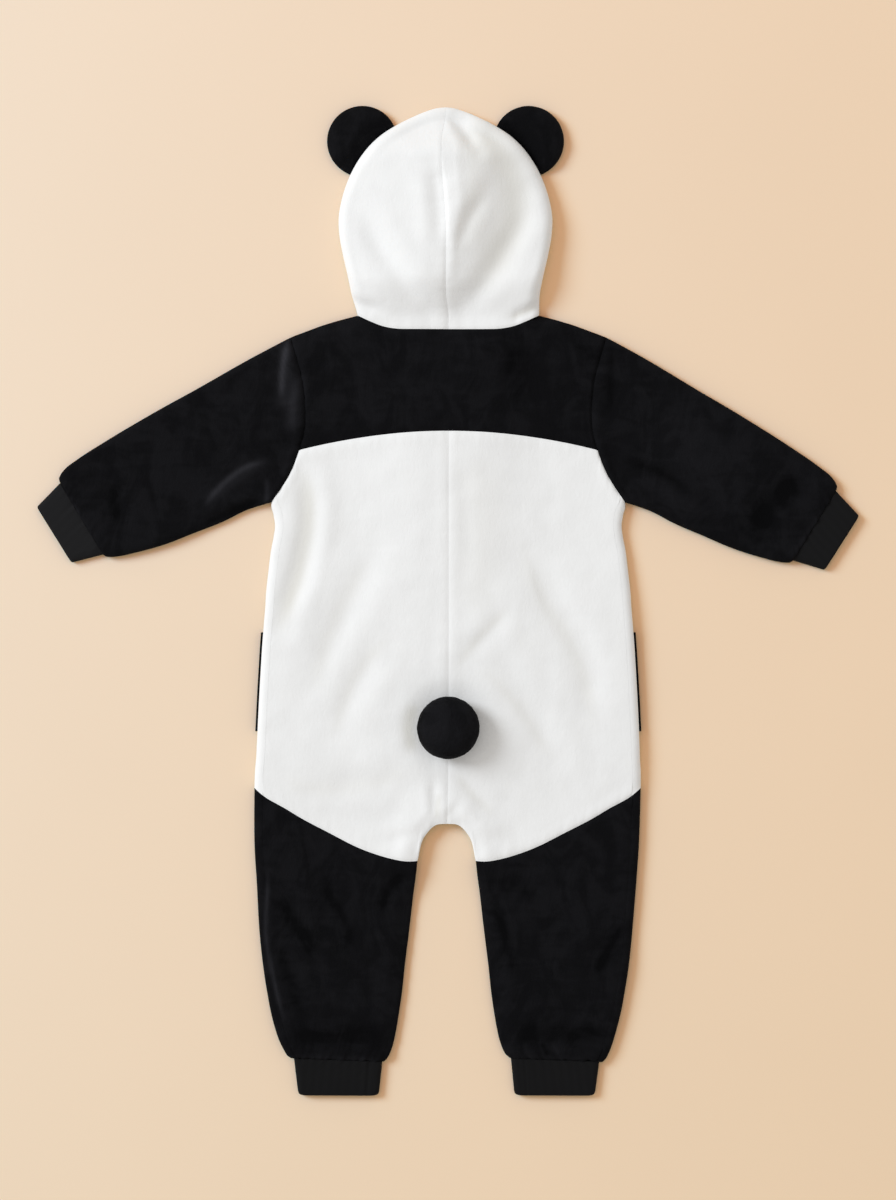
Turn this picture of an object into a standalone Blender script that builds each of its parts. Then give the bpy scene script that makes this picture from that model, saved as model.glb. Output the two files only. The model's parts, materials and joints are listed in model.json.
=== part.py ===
"""A toddler's panda onesie, laid out flat on its front with its back upwards.

Every size below is in millimetres; the mesh is written in metres. +Y runs from the feet to the hood,
+Z is up and the garment rests on z = 0. The origin is under the middle of the whole outline.
Outlines are given for the side with x > 0 and mirrored for the other side.
"""

import math

import bmesh
import bpy
import numpy as np

MM = 0.001

# Cloth
WALL = 3.0  # plush fleece with its pile
KNIT_WALL = 2.2  # ribless knit of the cuffs
POCKET_WALL = 2.2
SEAM_GAP = 0.3  # between two pieces that are sewn together
STACK = 9.6  # front, air and back where the layers lie loose
SEWN_STACK = 2 * WALL + 0.6  # where the edges of two layers are sewn together
CUFF_STACK = 7.4

# How far each side fold reaches in from the outline before its back seam
BODY_FOLD = 8.0
SLEEVE_FOLD = 7.0
CUFF_FOLD = 5.0
HOOD_FOLD = 12.0
FOLD_STEPS = 6

# Front fastening, which lifts the cloth over it
BUTTON_RADIUS = 9.0
BUTTON_HEIGHT = 2.4
BUTTON_TOP_Y = 197.0
BUTTON_PITCH = 70.0
BUTTON_COUNT = 5
PLACKET_HALF = 14.0
PLACKET_WALL = 2.0
PLACKET_BOTTOM_Y = -114.0
PLACKET_LIFT = BUTTON_HEIGHT + SEAM_GAP + PLACKET_WALL + SEAM_GAP
PLACKET_SLOPE = 34.0  # width of the slope from the placket down to the floor
PLACKET_MARGIN = 8.0  # how far the cloth stays raised beside the placket
PLACKET_TAIL = 16.0  # and below it
PLACKET_BRIDGE = 75.0  # width of the same slope in the layer on top, which bridges it

# Patch pockets on the front, sewn into the side seams
POCKET_INNER_X = 95.0
POCKET_LOW_Y = -121.0
POCKET_HIGH_Y = -29.5
POCKET_CORNER = 20.0
POCKET_LIFT = POCKET_WALL + SEAM_GAP
POCKET_REACH = 0.7  # how far the side seam draws the white cloth in behind the pocket
POCKET_EDGE = 2.1  # how far the pocket's fold stands out beyond the white cloth's
POCKET_MARGIN = 13.0  # how far the cloth stays raised beside the pocket
POCKET_SLOPE = 12.0
POCKET_BRIDGE = 60.0

# Outline and seams, as columns x and y
BACK_NECK = [(0, 251), (12, 251), (24, 251), (36, 251), (48, 251.4), (60, 253.6), (72, 258.2), (84, 264)]
FRONT_NECK_DROP = 36.0
SHOULDER = [(84, 264), (100, 259.8), (116, 255), (131, 249.5), (146.5, 243.7)]
ARMHOLE = [
    (146.5, 243.7),
    (140.8, 225),
    (135.6, 205),
    (133.2, 184),
    (133.2, 160),
    (138.1, 139.2),
    (147, 116.5),
    (155.2, 103),
    (163.7, 91),
]
YOKE_STEPS = 11
YOKE_MIDDLE_Y = 156.8
YOKE_RISE = 17.6
ARMHOLE_YOKE = 5  # the armhole's point where the yoke seam ends
CROTCH_ARCH = [(0, -206.4), (9.5, -207.2), (20.5, -218), (27, -241)]
CROTCH_LIFT = 5.0  # the bunched seams hold the crotch off the floor
CROTCH_SLOPE = 45.0
LEG_SEAM = [
    (27, -241),
    (36, -241.2),
    (47, -239.7),
    (59, -236.8),
    (72, -232.6),
    (85, -227.3),
    (98, -220.8),
    (111, -214),
    (124, -207.4),
    (137, -200.3),
    (149, -193),
    (170.9, -180.3),
    (178.9, -173.5),
]

# Side outline of the body and the leg, as columns y and x
SIDE = [
    (-425.8, 144.8),
    (-423.5, 147.4),
    (-419, 149.7),
    (-410, 153.5),
    (-397, 157.6),
    (-384, 161),
    (-362, 165.2),
    (-340, 168.6),
    (-318, 171.1),
    (-295, 173.1),
    (-273, 174.9),
    (-251, 176.6),
    (-230, 178),
    (-200, 178.8),
    (-173.5, 178.9),
    (-150, 178.4),
    (-120, 177.3),
    (-75, 175),
    (-28, 172),
    (10, 168.6),
    (28, 166.5),
    (48, 164),
    (58, 162),
    (70, 160.6),
    (80, 161.6),
    (91, 163.7),
]
INSEAM = [
    (-425.8, 58.2),
    (-423.5, 55.6),
    (-419, 53),
    (-410, 49.6),
    (-397, 46.6),
    (-384, 44.4),
    (-362, 41.2),
    (-340, 38.9),
    (-318, 36.2),
    (-295, 33.4),
    (-273, 30.9),
    (-251, 28),
    (-241, 27),
]
LEG_HEM_Y = -425.8
BODY_ROWS = 16
ROW_LENGTH = 20.0  # a little over the length of one row of the body's grid
LEG_PLACES = (0, 0.012, 0.037, 0.09, 0.18, 0.31, 0.45, 0.59, 0.73, 0.87, 1)  # its rows, from hem to seam

# Hood: the outline's sections from the neck to the peak, as columns x and y
HOOD_EDGE = [
    (84, 264),
    (86.5, 280),
    (90, 298),
    (94.6, 318),
    (98.2, 338),
    (98.8, 355),
    (96, 371),
    (90.5, 388),
    (82.5, 404),
    (72, 418.5),
    (59.5, 430.5),
    (46, 439.4),
    (32, 446.8),
    (18, 453),
    (7.5, 456.2),
    (0, 457),
]
HOOD_FOREHEAD_Y = 425.0
HOOD_FACE_GAP = 1.2  # half the gap between the two edges of the face opening
HOOD_CROWN = 18.0  # how much fuller the domed hood lies than the body
HOOD_EDGE_SHARE = 0.4  # the part of that which reaches the hood's side folds
HOOD_FOOT_Y = 255.0
HOOD_PEAK_Y = 452.0
HOOD_SLOPE = 45.0
HOOD_HALF_WIDTH = 92.0
HOOD_LEAN = 2.6  # how far the hood and its ears lie over to the left
SEAM_BOW = 4.0  # and how far its middle seam bows out beyond that, below the peak

# Ears and tail
EAR_CENTRE = (77.0, 425.6)
EAR_RADIUS = 32.8
EAR_GAP = 1.0
EAR_MIDDLE = (82.0, 430.0)  # the point that its rings close in on
EAR_STEPS = 18
EAR_CORNER = 3.0  # length of the base left out at each corner
EAR_HEIGHT = 12.2
EAR_PROFILE = [(0.5, 0), (0.84, 0), (0.96, 1.5), (1, 4.2), (0.96, 7.4), (0.8, 9.8), (0.42, 11.6)]
TAIL_Y = -117.0
TAIL_STEPS = 20
TAIL_SEAT = 16.0  # radius of the stitched base
TAIL_DENT = 2.8  # how far the ball presses the back down
TAIL_DENT_RADIUS = 22.0
TAIL_DENT_SLOPE = 26.0
TAIL_HEIGHT = 34.0
TAIL_PROFILE = [
    (9, 0),
    (17, 0.4),
    (24.3, 3.8),
    (27.9, 9.6),
    (28.7, 15.6),
    (27.2, 22.4),
    (22.3, 28.4),
    (13.2, 32.5),
]

# Sleeve, as columns x and y along its upper and lower edges, and its cuff's four corners
SLEEVE_TOP = [
    (146.5, 243.7),
    (185, 222.5),
    (236, 192.7),
    (263, 177.5),
    (291, 161),
    (319, 143.7),
    (344, 127.1),
    (355, 118.4),
    (359.6, 112.2),
    (360.7, 109.2),
    (359.6, 105.3),
]
SLEEVE_LOW = [
    (163.7, 91),
    (187, 83.9),
    (208, 73.6),
    (236, 62.1),
    (263, 50.7),
    (290, 42.3),
    (305, 38.6),
    (313.5, 37.7),
    (317.4, 38.1),
    (319.8, 39.9),
]
SLEEVE_PLACES = (0, 0.14, 0.28, 0.42, 0.56, 0.7, 0.82, 0.91, 0.955, 0.98, 1)
CUFF_INNER = ((359.6, 105.3), (319.8, 39.9))
CUFF_OUTER = ((381.1, 82.7), (349, 31.7))
CUFF_SECTIONS = 2
CUFF_STEPS = 6

# Leg cuff, as x at its inner and outer edge
LEG_CUFF_TOP = (59.6, 141.5)
LEG_CUFF_LOW = (62.9, 137.4)
LEG_CUFF_LOW_Y = -458.5

# How the evenly cut garment came to lie
SLEEVE_START_X = 150.0
SLEEVE_REACH = 230.0
SLEEVE_TURN = 4.1  # how far the left cuff lies up, and the right one down
SLEEVE_DRIFT = 0.3
LEG_DRIFT = 1.6  # how far both legs lie over to the left
LEG_SPREAD = 1.3  # and the outer edge of the left leg beyond that
HEM_TILT = 0.035

# Largest creases of the upper layer: depth (+ is a trough), half width, and the line it follows
CREASE_DEPTH = 2.4  # the most where two layers lie flat; the fuller hood takes more
CREASES = [
    (3.6, 8, [(71.9, 376), (67.2, 348.3), (53.4, 321.4), (31.2, 290), (11.7, 269.6)]),
    (7.5, 30, [(50, 430), (60, 392), (58, 355), (48, 322), (28, 290), (10, 262)]),
    (2.6, 13, [(-84.5, 362.1), (-66.9, 331.6), (-46.5, 300.2), (-22.5, 269.6)]),
    (2.2, 11, [(-12.3, 403.8), (-8.6, 369.5), (-6.8, 300.2)]),
    (2.0, 11, [(35.8, 376), (20.1, 352), (7.1, 321.4)]),
    (2.2, 13, [(-134.4, 115.2), (-131.6, 75.4), (-143.7, 15.3), (-155.7, -21.7)]),
    (1.8, 16, [(-62.3, 51.3), (-83.5, 15.3), (-101.1, -21.7), (-126.1, -76.3)]),
    (1.3, 14, [(-65, -33.8), (-83.5, -76.3), (-110.4, -121.6)]),
    (1.4, 13, [(-113.1, -170.7), (-43.8, -164.2)]),
    (2.0, 16, [(74.6, 45.8), (95.9, 3.2), (123.7, -45.8), (132.9, -124.4)]),
    (1.5, 14, [(44.1, -45.8), (69.1, -91.1), (99.6, -142.9)]),
    (-1.3, 14, [(62.6, 48.6), (74.6, -3.2), (90.4, -45.8)]),
    (-1.4, 14, [(-165.9, 126.3), (-218.6, 85.6)]),
    (-1.4, 14, [(161.6, 120.7), (228.2, 95.7)]),
    (1.5, 16, [(-310.2, 106), (-304, 66)]),
    (1.5, 18, [(290, 112), (318, 76)]),
    (1.4, 13, [(-153.8, -256.7), (-139, -309.4)]),
    (1.6, 13, [(-120.5, -249.3), (-113.1, -279.8), (-92.8, -325.1)]),
    (1.5, 12, [(-151, -330), (-139, -390.8)]),
    (1.5, 13, [(135.7, -348.3), (147.7, -327.9), (158, -299.2)]),
    (1.4, 13, [(50, -289), (62, -350)]),
]

WHITE = (0.86, 0.86, 0.85, 1)
BLACK = (0.010, 0.010, 0.012, 1)
KNIT_BLACK = (0.016, 0.016, 0.018, 1)
BUTTON_BLACK = (0.02, 0.02, 0.022, 1)


def smooth(t):
    t = min(max(t, 0.0), 1.0)
    return t * t * (3 - 2 * t)


def line_distance(x, y, line):
    """Distance in plan from a point to a chain of straight pieces."""
    nearest = math.inf
    for (x0, y0), (x1, y1) in zip(line, line[1:]):
        run, rise = x1 - x0, y1 - y0
        along = ((x - x0) * run + (y - y0) * rise) / (run * run + rise * rise)
        along = min(max(along, 0.0), 1.0)
        nearest = min(nearest, math.hypot(x - x0 - along * run, y - y0 - along * rise))
    return nearest


def at(table, value):
    """The second column of a table, read at a value of its first."""
    return float(np.interp(value, [row[0] for row in table], [row[1] for row in table]))


def steps(first, last, count):
    """Points evenly spaced on a straight line, its ends included."""
    return [tuple(point) for point in np.linspace(first, last, count + 1)]


def along_line(line, fraction):
    """The point at a fraction of a chain's length."""
    points = np.array(line, float)
    lengths = np.concatenate([[0], np.cumsum(np.linalg.norm(np.diff(points, axis=0), axis=1))])
    place = fraction * lengths[-1]
    return np.array([np.interp(place, lengths, points[:, 0]), np.interp(place, lengths, points[:, 1])])


def yoke_seam():
    width = ARMHOLE[ARMHOLE_YOKE][0]
    stations = np.linspace(0, width, YOKE_STEPS + 1)
    return [(x, YOKE_MIDDLE_Y - YOKE_RISE * (x / width) ** 2) for x in stations]


def front_neck():
    """The front neckline dips below the back one between the two side folds of the hood."""
    fold_x = BACK_NECK[-2][0]
    return [(x, y - FRONT_NECK_DROP * max(0, 1 - (x / fold_x) ** 2)) for x, y in BACK_NECK]


def beyond_pocket(y):
    """How far y lies past a pocket's ends, with the cloth still raised for one row of the grid."""
    return max(POCKET_LOW_Y - ROW_LENGTH - y, y - POCKET_HIGH_Y - ROW_LENGTH, 0)


def side_x(y):
    """The white cloth's outline, drawn in a little where a pocket is sewn over it."""
    return at(SIDE, y) - POCKET_REACH * (1 - smooth(beyond_pocket(y) / ROW_LENGTH))


# Heights. low() is the outer face of the layer underneath, high() the outer face of the layer on top.


def lifted(x, y, placket_slope, pocket_slope):
    """How far a layer lies off the floor, with slopes of a width beside the placket and the pockets."""
    across = 1 - smooth((abs(x) - PLACKET_HALF - PLACKET_MARGIN) / placket_slope)
    beyond = max(y - front_neck()[0][1] - 1, PLACKET_BOTTOM_Y - PLACKET_TAIL - y)
    length = 1 - smooth(beyond / placket_slope)
    outside = math.hypot(max(POCKET_INNER_X - POCKET_MARGIN - abs(x), 0), beyond_pocket(y))
    crotch = CROTCH_LIFT * (1 - smooth(line_distance(abs(x), y, CROTCH_ARCH) / CROTCH_SLOPE))
    return PLACKET_LIFT * across * length + POCKET_LIFT * (1 - smooth(outside / pocket_slope)) + crotch


def low(x, y):
    return lifted(x, y, PLACKET_SLOPE, POCKET_SLOPE)


def sewn(x, y):
    """1 on an edge where two layers are sewn together, falling to 0 where they lie loose."""
    x = abs(x)
    inner_edge = CROTCH_ARCH + [(row_x, row_y) for row_y, row_x in reversed(INSEAM[:-1])]
    near = min(line_distance(x, y, inner_edge), line_distance(x, y, SHOULDER))
    hem = min(
        line_distance(x, y, list(CUFF_INNER)),
        line_distance(x, y, [(INSEAM[0][1], LEG_HEM_Y), (SIDE[0][1], LEG_HEM_Y)]),
    )
    return max(1 - smooth(near / 16), 0.5 * (1 - smooth(hem / 14)))


def hood_fullness(x, y):
    """Height that the domed hood adds to its two layers."""
    along = smooth((y - HOOD_FOOT_Y) / HOOD_SLOPE) * smooth((HOOD_PEAK_Y - y) / HOOD_SLOPE)
    dome = max(0.0, 1 - (x / HOOD_HALF_WIDTH) ** 2)
    return HOOD_CROWN * along * (HOOD_EDGE_SHARE + (1 - HOOD_EDGE_SHARE) * dome)


def high(x, y):
    full = hood_fullness(x, y)
    crease = 0.0
    for depth, width, line in CREASES:
        distance = line_distance(x, y, line)
        if distance < 2.5 * width:
            crease += depth * math.exp(-((distance / width) ** 2) * 1.6)
    crease = min(crease, CREASE_DEPTH + 0.6 * full)
    from_tail = math.hypot(x, y - TAIL_Y) - TAIL_DENT_RADIUS
    crease = max(crease, TAIL_DENT * (1 - smooth(from_tail / TAIL_DENT_SLOPE)))
    loose = 1 - sewn(x, y)
    bridged = lifted(x, y, PLACKET_BRIDGE, POCKET_BRIDGE)
    return bridged + SEWN_STACK + (STACK - SEWN_STACK + full - crease) * loose


def leaned(x, y, side):
    """Where a point of the hood or an ear lies, with the hood a little over to the left."""
    bow = smooth((y - 340) / 70) * smooth((454 - y) / 32) * (1 - smooth((abs(x) - 10) / 40))
    return x - side * (HOOD_LEAN * smooth((y - 262) / 25) + SEAM_BOW * bow)


def settled(x, y):
    """Where a point of the evenly cut garment came to lie, its sleeves and legs a little askew."""
    arm = min(max((abs(x) - SLEEVE_START_X) / SLEEVE_REACH, 0), 1) ** 1.3 * smooth((y + 25) / 45)
    spread = smooth((-x - 110) / 50) * smooth((-250 - y) / 60) * smooth((y + 430) / 25)
    tilt = HEM_TILT * (x - math.copysign(100, x)) * math.exp(-(((y - LEG_HEM_Y) / 22) ** 2))
    across = SLEEVE_DRIFT * arm + LEG_DRIFT * smooth((-110 - y) / 140) + LEG_SPREAD * spread
    return x - across, y - math.copysign(SLEEVE_TURN, x) * arm - tilt


# Mesh making


def clear_scene():
    for obj in list(bpy.data.objects):
        bpy.data.objects.remove(obj, do_unlink=True)


def material(name, colour, roughness):
    made = bpy.data.materials.new(name)
    made.use_nodes = True
    shader = made.node_tree.nodes["Principled BSDF"]
    shader.inputs["Base Color"].default_value = colour
    shader.inputs["Roughness"].default_value = roughness
    made.diffuse_color = colour
    return made


def add_piece(name, points, faces, finish, side=1):
    """One named object from points in millimetres; side is -1 to mirror it."""
    mesh = bpy.data.meshes.new(name)
    placed = [(*settled(side * x, y), z) for x, y, z in points]
    mesh.from_pydata([(x * MM, y * MM, z * MM) for x, y, z in placed], [], faces)
    shape = bmesh.new()
    shape.from_mesh(mesh)
    bmesh.ops.recalc_face_normals(shape, faces=shape.faces)
    shape.to_mesh(mesh)
    shape.free()
    mesh.materials.append(finish)
    mesh.shade_smooth()
    mesh.set_sharp_from_angle(angle=math.radians(50))
    piece = bpy.data.objects.new(name, mesh)
    bpy.context.scene.collection.objects.link(piece)
    return piece


def add_wall(name, outer, inner, finish, side=1, ring=False):
    """A wall between two grids of points, rows by columns. A ring's last column joins its first."""
    rows, columns = len(outer), len(outer[0])
    points = [point for grid in (outer, inner) for row in grid for point in row]
    inside = rows * columns

    def corner(row, column):
        return row * columns + column % columns

    faces = []
    for row in range(rows - 1):
        for column in range(columns if ring else columns - 1):
            quad = [
                corner(row, column),
                corner(row, column + 1),
                corner(row + 1, column + 1),
                corner(row + 1, column),
            ]
            faces += [quad, [inside + index for index in reversed(quad)]]
    rims = [[corner(row, column) for column in range(columns + ring)] for row in (0, rows - 1)]
    if not ring:
        rims += [[corner(row, column) for row in range(rows)] for column in (0, columns - 1)]
    for rim in rims:
        faces += [[a, b, inside + b, inside + a] for a, b in zip(rim, rim[1:])]
    return add_piece(name, points, faces, finish, side)


def patch(bottom, top, left, right, places=None):
    """A grid of plan points inside four edges, rows from bottom to top (a Coons patch)."""
    bottom, top = np.array(bottom, float), np.array(top, float)
    left, right = np.array(left, float), np.array(right, float)
    left[0], left[-1], right[0], right[-1] = bottom[0], top[0], bottom[-1], top[-1]
    across = np.linspace(0, 1, len(bottom))[:, None]
    grid = []
    for up, start, end in zip(np.linspace(0, 1, len(left)) if places is None else places, left, right):
        ruled = (1 - up) * bottom + up * top
        sides = (1 - across) * start + across * end
        corners = (1 - across) * ruled[0] + across * ruled[-1]
        grid.append(ruled + sides - corners)
    return grid


def upper_wall(name, grid, finish, side=1):
    """A panel of the upper layer over a grid of plan points."""
    outer = [[(x, y, high(side * x, y)) for x, y in row] for row in grid]
    inner = [[(x, y, z - WALL) for x, y, z in row] for row in outer]
    return add_wall(name, outer, inner, finish, side)


def lower_rows(grid, side):
    outer = [[(x, y, low(side * x, y)) for x, y in row] for row in grid]
    inner = [[(x, y, z + WALL) for x, y, z in row] for row in outer]
    return outer, inner


def fold_over(outer, inner, outward, width, side):
    """Carries each row of a lower panel round the side fold, up to the seam on the back."""
    for row, row_inner, (out_x, out_y) in zip(outer, inner, outward):
        x, y, bottom = row[-1]
        half = (high(side * x, y) - bottom) / 2
        for step in range(1, FOLD_STEPS + 1):
            turn = math.pi * step / FOLD_STEPS
            for points, reach, height in ((row, width, half), (row_inner, width - WALL, half - WALL)):
                points.append(
                    (
                        x + out_x * reach * math.sin(turn),
                        y + out_y * reach * math.sin(turn),
                        bottom + half - height * math.cos(turn),
                    )
                )


def flat_ring(start, end, way, fractions, fold, wall, heights):
    """Outer and inner points of one section of a flattened tube.

    way(f) is the plan point at a fraction from the start edge to the end edge, and heights(x, y)
    gives the outer faces of its lower and upper layer.
    """
    start, end = np.array(start, float), np.array(end, float)
    flat = [np.array(way(fraction)) for fraction in fractions]
    outer, inner = [], []

    def layer(points, top):
        for x, y in points:
            bottom_z, top_z = heights(x, y)
            outer.append((x, y, top_z if top else bottom_z))
            inner.append((x, y, top_z - wall if top else bottom_z + wall))

    def turn_round(corner, tip, downwards):
        out = (tip - corner) / np.linalg.norm(tip - corner)
        bottom_z, top_z = heights(*corner)
        half = (top_z - bottom_z) / 2
        for step in range(1, FOLD_STEPS):
            turn = math.pi * step / FOLD_STEPS
            lift = math.cos(turn) if downwards else -math.cos(turn)
            for points, reach, height in ((outer, fold, half), (inner, fold - wall, half - wall)):
                place = corner + out * reach * math.sin(turn)
                points.append((place[0], place[1], bottom_z + half + height * lift))

    layer(flat, True)
    turn_round(flat[-1], end, True)
    layer(flat[::-1], False)
    turn_round(flat[0], start, False)
    return outer, inner


def add_tube(name, sections, finish, side):
    return add_wall(name, [s[0] for s in sections], [s[1] for s in sections], finish, side, ring=True)


# Pieces


def shifted(line, dx=0.0, dy=0.0):
    return [(x + dx, y + dy) for x, y in line]


def from_middle(line):
    """A line whose first point is moved off the middle by half the seam gap."""
    return [(SEAM_GAP / 2, line[0][1])] + list(line[1:])


def side_seam_end(inset):
    """The point on the armhole's last piece that lies inset from the underarm."""
    tip, before = np.array(ARMHOLE[-1]), np.array(ARMHOLE[-2])
    return tuple(tip - (tip - before) / np.linalg.norm(tip - before) * inset)


def make_yoke(finish):
    seam = shifted(yoke_seam(), dy=SEAM_GAP / 2)
    neck = shifted(BACK_NECK + SHOULDER[1:], dy=-SEAM_GAP / 2)
    armhole = ARMHOLE[ARMHOLE_YOKE::-1]
    grid = patch(
        [(-x, y) for x, y in reversed(seam[1:])] + seam,
        [(-x, y) for x, y in reversed(neck[1:])] + neck,
        [(-x, y) for x, y in armhole],
        armhole,
    )
    upper_wall("back_yoke", grid, finish)


def make_front_yoke(name, side, finish):
    seam = from_middle(shifted(yoke_seam(), dy=SEAM_GAP / 2))
    neck = from_middle(shifted(front_neck() + SHOULDER[1:], dy=-SEAM_GAP / 2))
    grid = patch(seam, neck, steps(seam[0], neck[0], ARMHOLE_YOKE), ARMHOLE[ARMHOLE_YOKE::-1])
    outer, inner = lower_rows(grid, side)
    add_wall(name, outer, inner, finish, side)


def body_grid(inset):
    """Plan of a body panel, from the middle to a line that lies inset from the outline."""
    top_end, low_end = side_seam_end(inset), LEG_SEAM[-2]
    top = from_middle(shifted(yoke_seam(), dy=-SEAM_GAP / 2))
    top += ARMHOLE[ARMHOLE_YOKE + 1 : -1] + [top_end]
    seam = shifted(LEG_SEAM[:-1], dy=SEAM_GAP / 2)
    seam[-1] = (side_x(low_end[1]) - inset, seam[-1][1])
    low_edge = from_middle(CROTCH_ARCH[:-1]) + seam
    rows = np.linspace(low_edge[-1][1], top_end[1], BODY_ROWS + 1)
    side = [(side_x(y) - inset, y) for y in rows]
    return patch(low_edge, top, steps(low_edge[0], top[0], BODY_ROWS), side)


def fold_directions(rows, low_slope, high_slope):
    """Outward directions of the fold: across, except at the two ends, where it follows the seams."""
    return (
        [(1, low_slope), (1, low_slope / 3)]
        + [(1, 0)] * (rows - 4)
        + [(1, high_slope / 4), (1, high_slope)]
    )


def make_back(name, side, finish):
    upper_wall(name, body_grid(BODY_FOLD + SEAM_GAP), finish, side)


def leg_seam_slope():
    (x0, y0), (x1, y1) = LEG_SEAM[-2:]
    return (y1 - y0) / (x1 - x0)


def make_front(name, side, finish):
    grid = body_grid(BODY_FOLD)
    outer, inner = lower_rows(grid, side)
    outward = fold_directions(len(grid), leg_seam_slope(), 0)
    tip, corner = np.array(ARMHOLE[-1]), np.array(side_seam_end(BODY_FOLD))
    outward[-1] = tuple((tip - corner) / BODY_FOLD)
    outward[-2] = (1, -0.4)
    fold_over(outer, inner, outward, BODY_FOLD, side)
    add_wall(name, outer, inner, finish, side)


def leg_grid(inset):
    top = shifted(LEG_SEAM[:-1], dy=-SEAM_GAP / 2)
    top[-1] = (side_x(top[-1][1]) - inset, top[-1][1])
    hem_inner, hem_outer = at(INSEAM, LEG_HEM_Y), at(SIDE, LEG_HEM_Y) - inset
    hem = steps((hem_inner, LEG_HEM_Y), (hem_outer, LEG_HEM_Y), len(top) - 1)
    inner_rows = [LEG_HEM_Y + place * (top[0][1] - LEG_HEM_Y) for place in LEG_PLACES]
    outer_rows = [LEG_HEM_Y + place * (top[-1][1] - LEG_HEM_Y) for place in LEG_PLACES]
    return patch(
        hem,
        top,
        [(at(INSEAM, y), y) for y in inner_rows],
        [(side_x(y) - inset, y) for y in outer_rows],
        LEG_PLACES,
    )


def make_back_leg(name, side, finish):
    upper_wall(name, leg_grid(BODY_FOLD + SEAM_GAP), finish, side)


def make_front_leg(name, side, finish):
    grid = leg_grid(BODY_FOLD)
    outer, inner = lower_rows(grid, side)
    outward = fold_directions(len(grid), 0, leg_seam_slope())
    outward[-2] = (1, leg_seam_slope() / 3)
    fold_over(outer, inner, outward, BODY_FOLD, side)
    add_wall(name, outer, inner, finish, side)


def make_leg_cuff(name, side, finish):
    sections = []
    for step in range(CUFF_SECTIONS + 1):
        down = step / CUFF_SECTIONS
        y = LEG_HEM_Y - SEAM_GAP + down * (LEG_CUFF_LOW_Y - LEG_HEM_Y + SEAM_GAP)
        start, end = (
            (first + down * (last - first), y) for first, last in zip(LEG_CUFF_TOP, LEG_CUFF_LOW)
        )
        sections.append(cuff_section(start, end))
    add_tube(name, sections, finish, side)


def cuff_section(start, end):
    length = math.dist(start, end)
    fractions = np.linspace(CUFF_FOLD / length, 1 - CUFF_FOLD / length, CUFF_STEPS + 1)
    return flat_ring(
        start,
        end,
        lambda fraction: along_line([start, end], fraction),
        fractions,
        CUFF_FOLD,
        KNIT_WALL,
        lambda x, y: (0.0, CUFF_STACK),
    )


def make_sleeve_cuff(name, side, finish):
    axis = np.mean(CUFF_OUTER, axis=0) - np.mean(CUFF_INNER, axis=0)
    clear = axis / np.linalg.norm(axis) * SEAM_GAP
    sections = []
    for step in range(CUFF_SECTIONS + 1):
        down = step / CUFF_SECTIONS
        start, end = (
            tuple((1 - down) * (np.array(first) + clear) + down * np.array(last))
            for first, last in zip(CUFF_INNER, CUFF_OUTER)
        )
        sections.append(cuff_section(start, end))
    add_tube(name, sections, finish, side)


def make_sleeve(name, side, finish):
    """A tube from the armhole, whose seam its first section follows, to the cuff."""
    armhole = shifted(ARMHOLE, dx=SEAM_GAP + 0.05)
    joints = np.cumsum([0] + [math.dist(a, b) for a, b in zip(armhole, armhole[1:])])
    first = [SLEEVE_FOLD] + list(joints[1:-1]) + [joints[-1] - SLEEVE_FOLD]
    sections = []
    for down in SLEEVE_PLACES:
        start, end = along_line(SLEEVE_TOP, down), along_line(SLEEVE_LOW, down)
        if down == 0:
            start, end = np.array(armhole[0]), np.array(armhole[-1])
        length = math.dist(start, end)
        inset = SLEEVE_FOLD / length
        spread = [
            inset + (place - first[0]) / (first[-1] - first[0]) * (1 - 2 * inset) for place in first
        ]
        bow = (1 - down) ** 2

        def way(fraction, start=start, end=end, bow=bow):
            straight = start + (end - start) * fraction
            middle = first[0] + (first[-1] - first[0]) * (fraction - inset) / (1 - 2 * inset)
            seam = along_line(armhole, middle / joints[-1])
            chord = np.array(armhole[0]) + (np.array(armhole[-1]) - armhole[0]) * fraction
            return straight + bow * (seam - chord)

        sections.append(
            flat_ring(
                start,
                end,
                way,
                spread,
                SLEEVE_FOLD,
                WALL,
                lambda x, y: (low(side * x, y), high(side * x, y)),
            )
        )
    add_tube(name, sections, finish, side)


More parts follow.
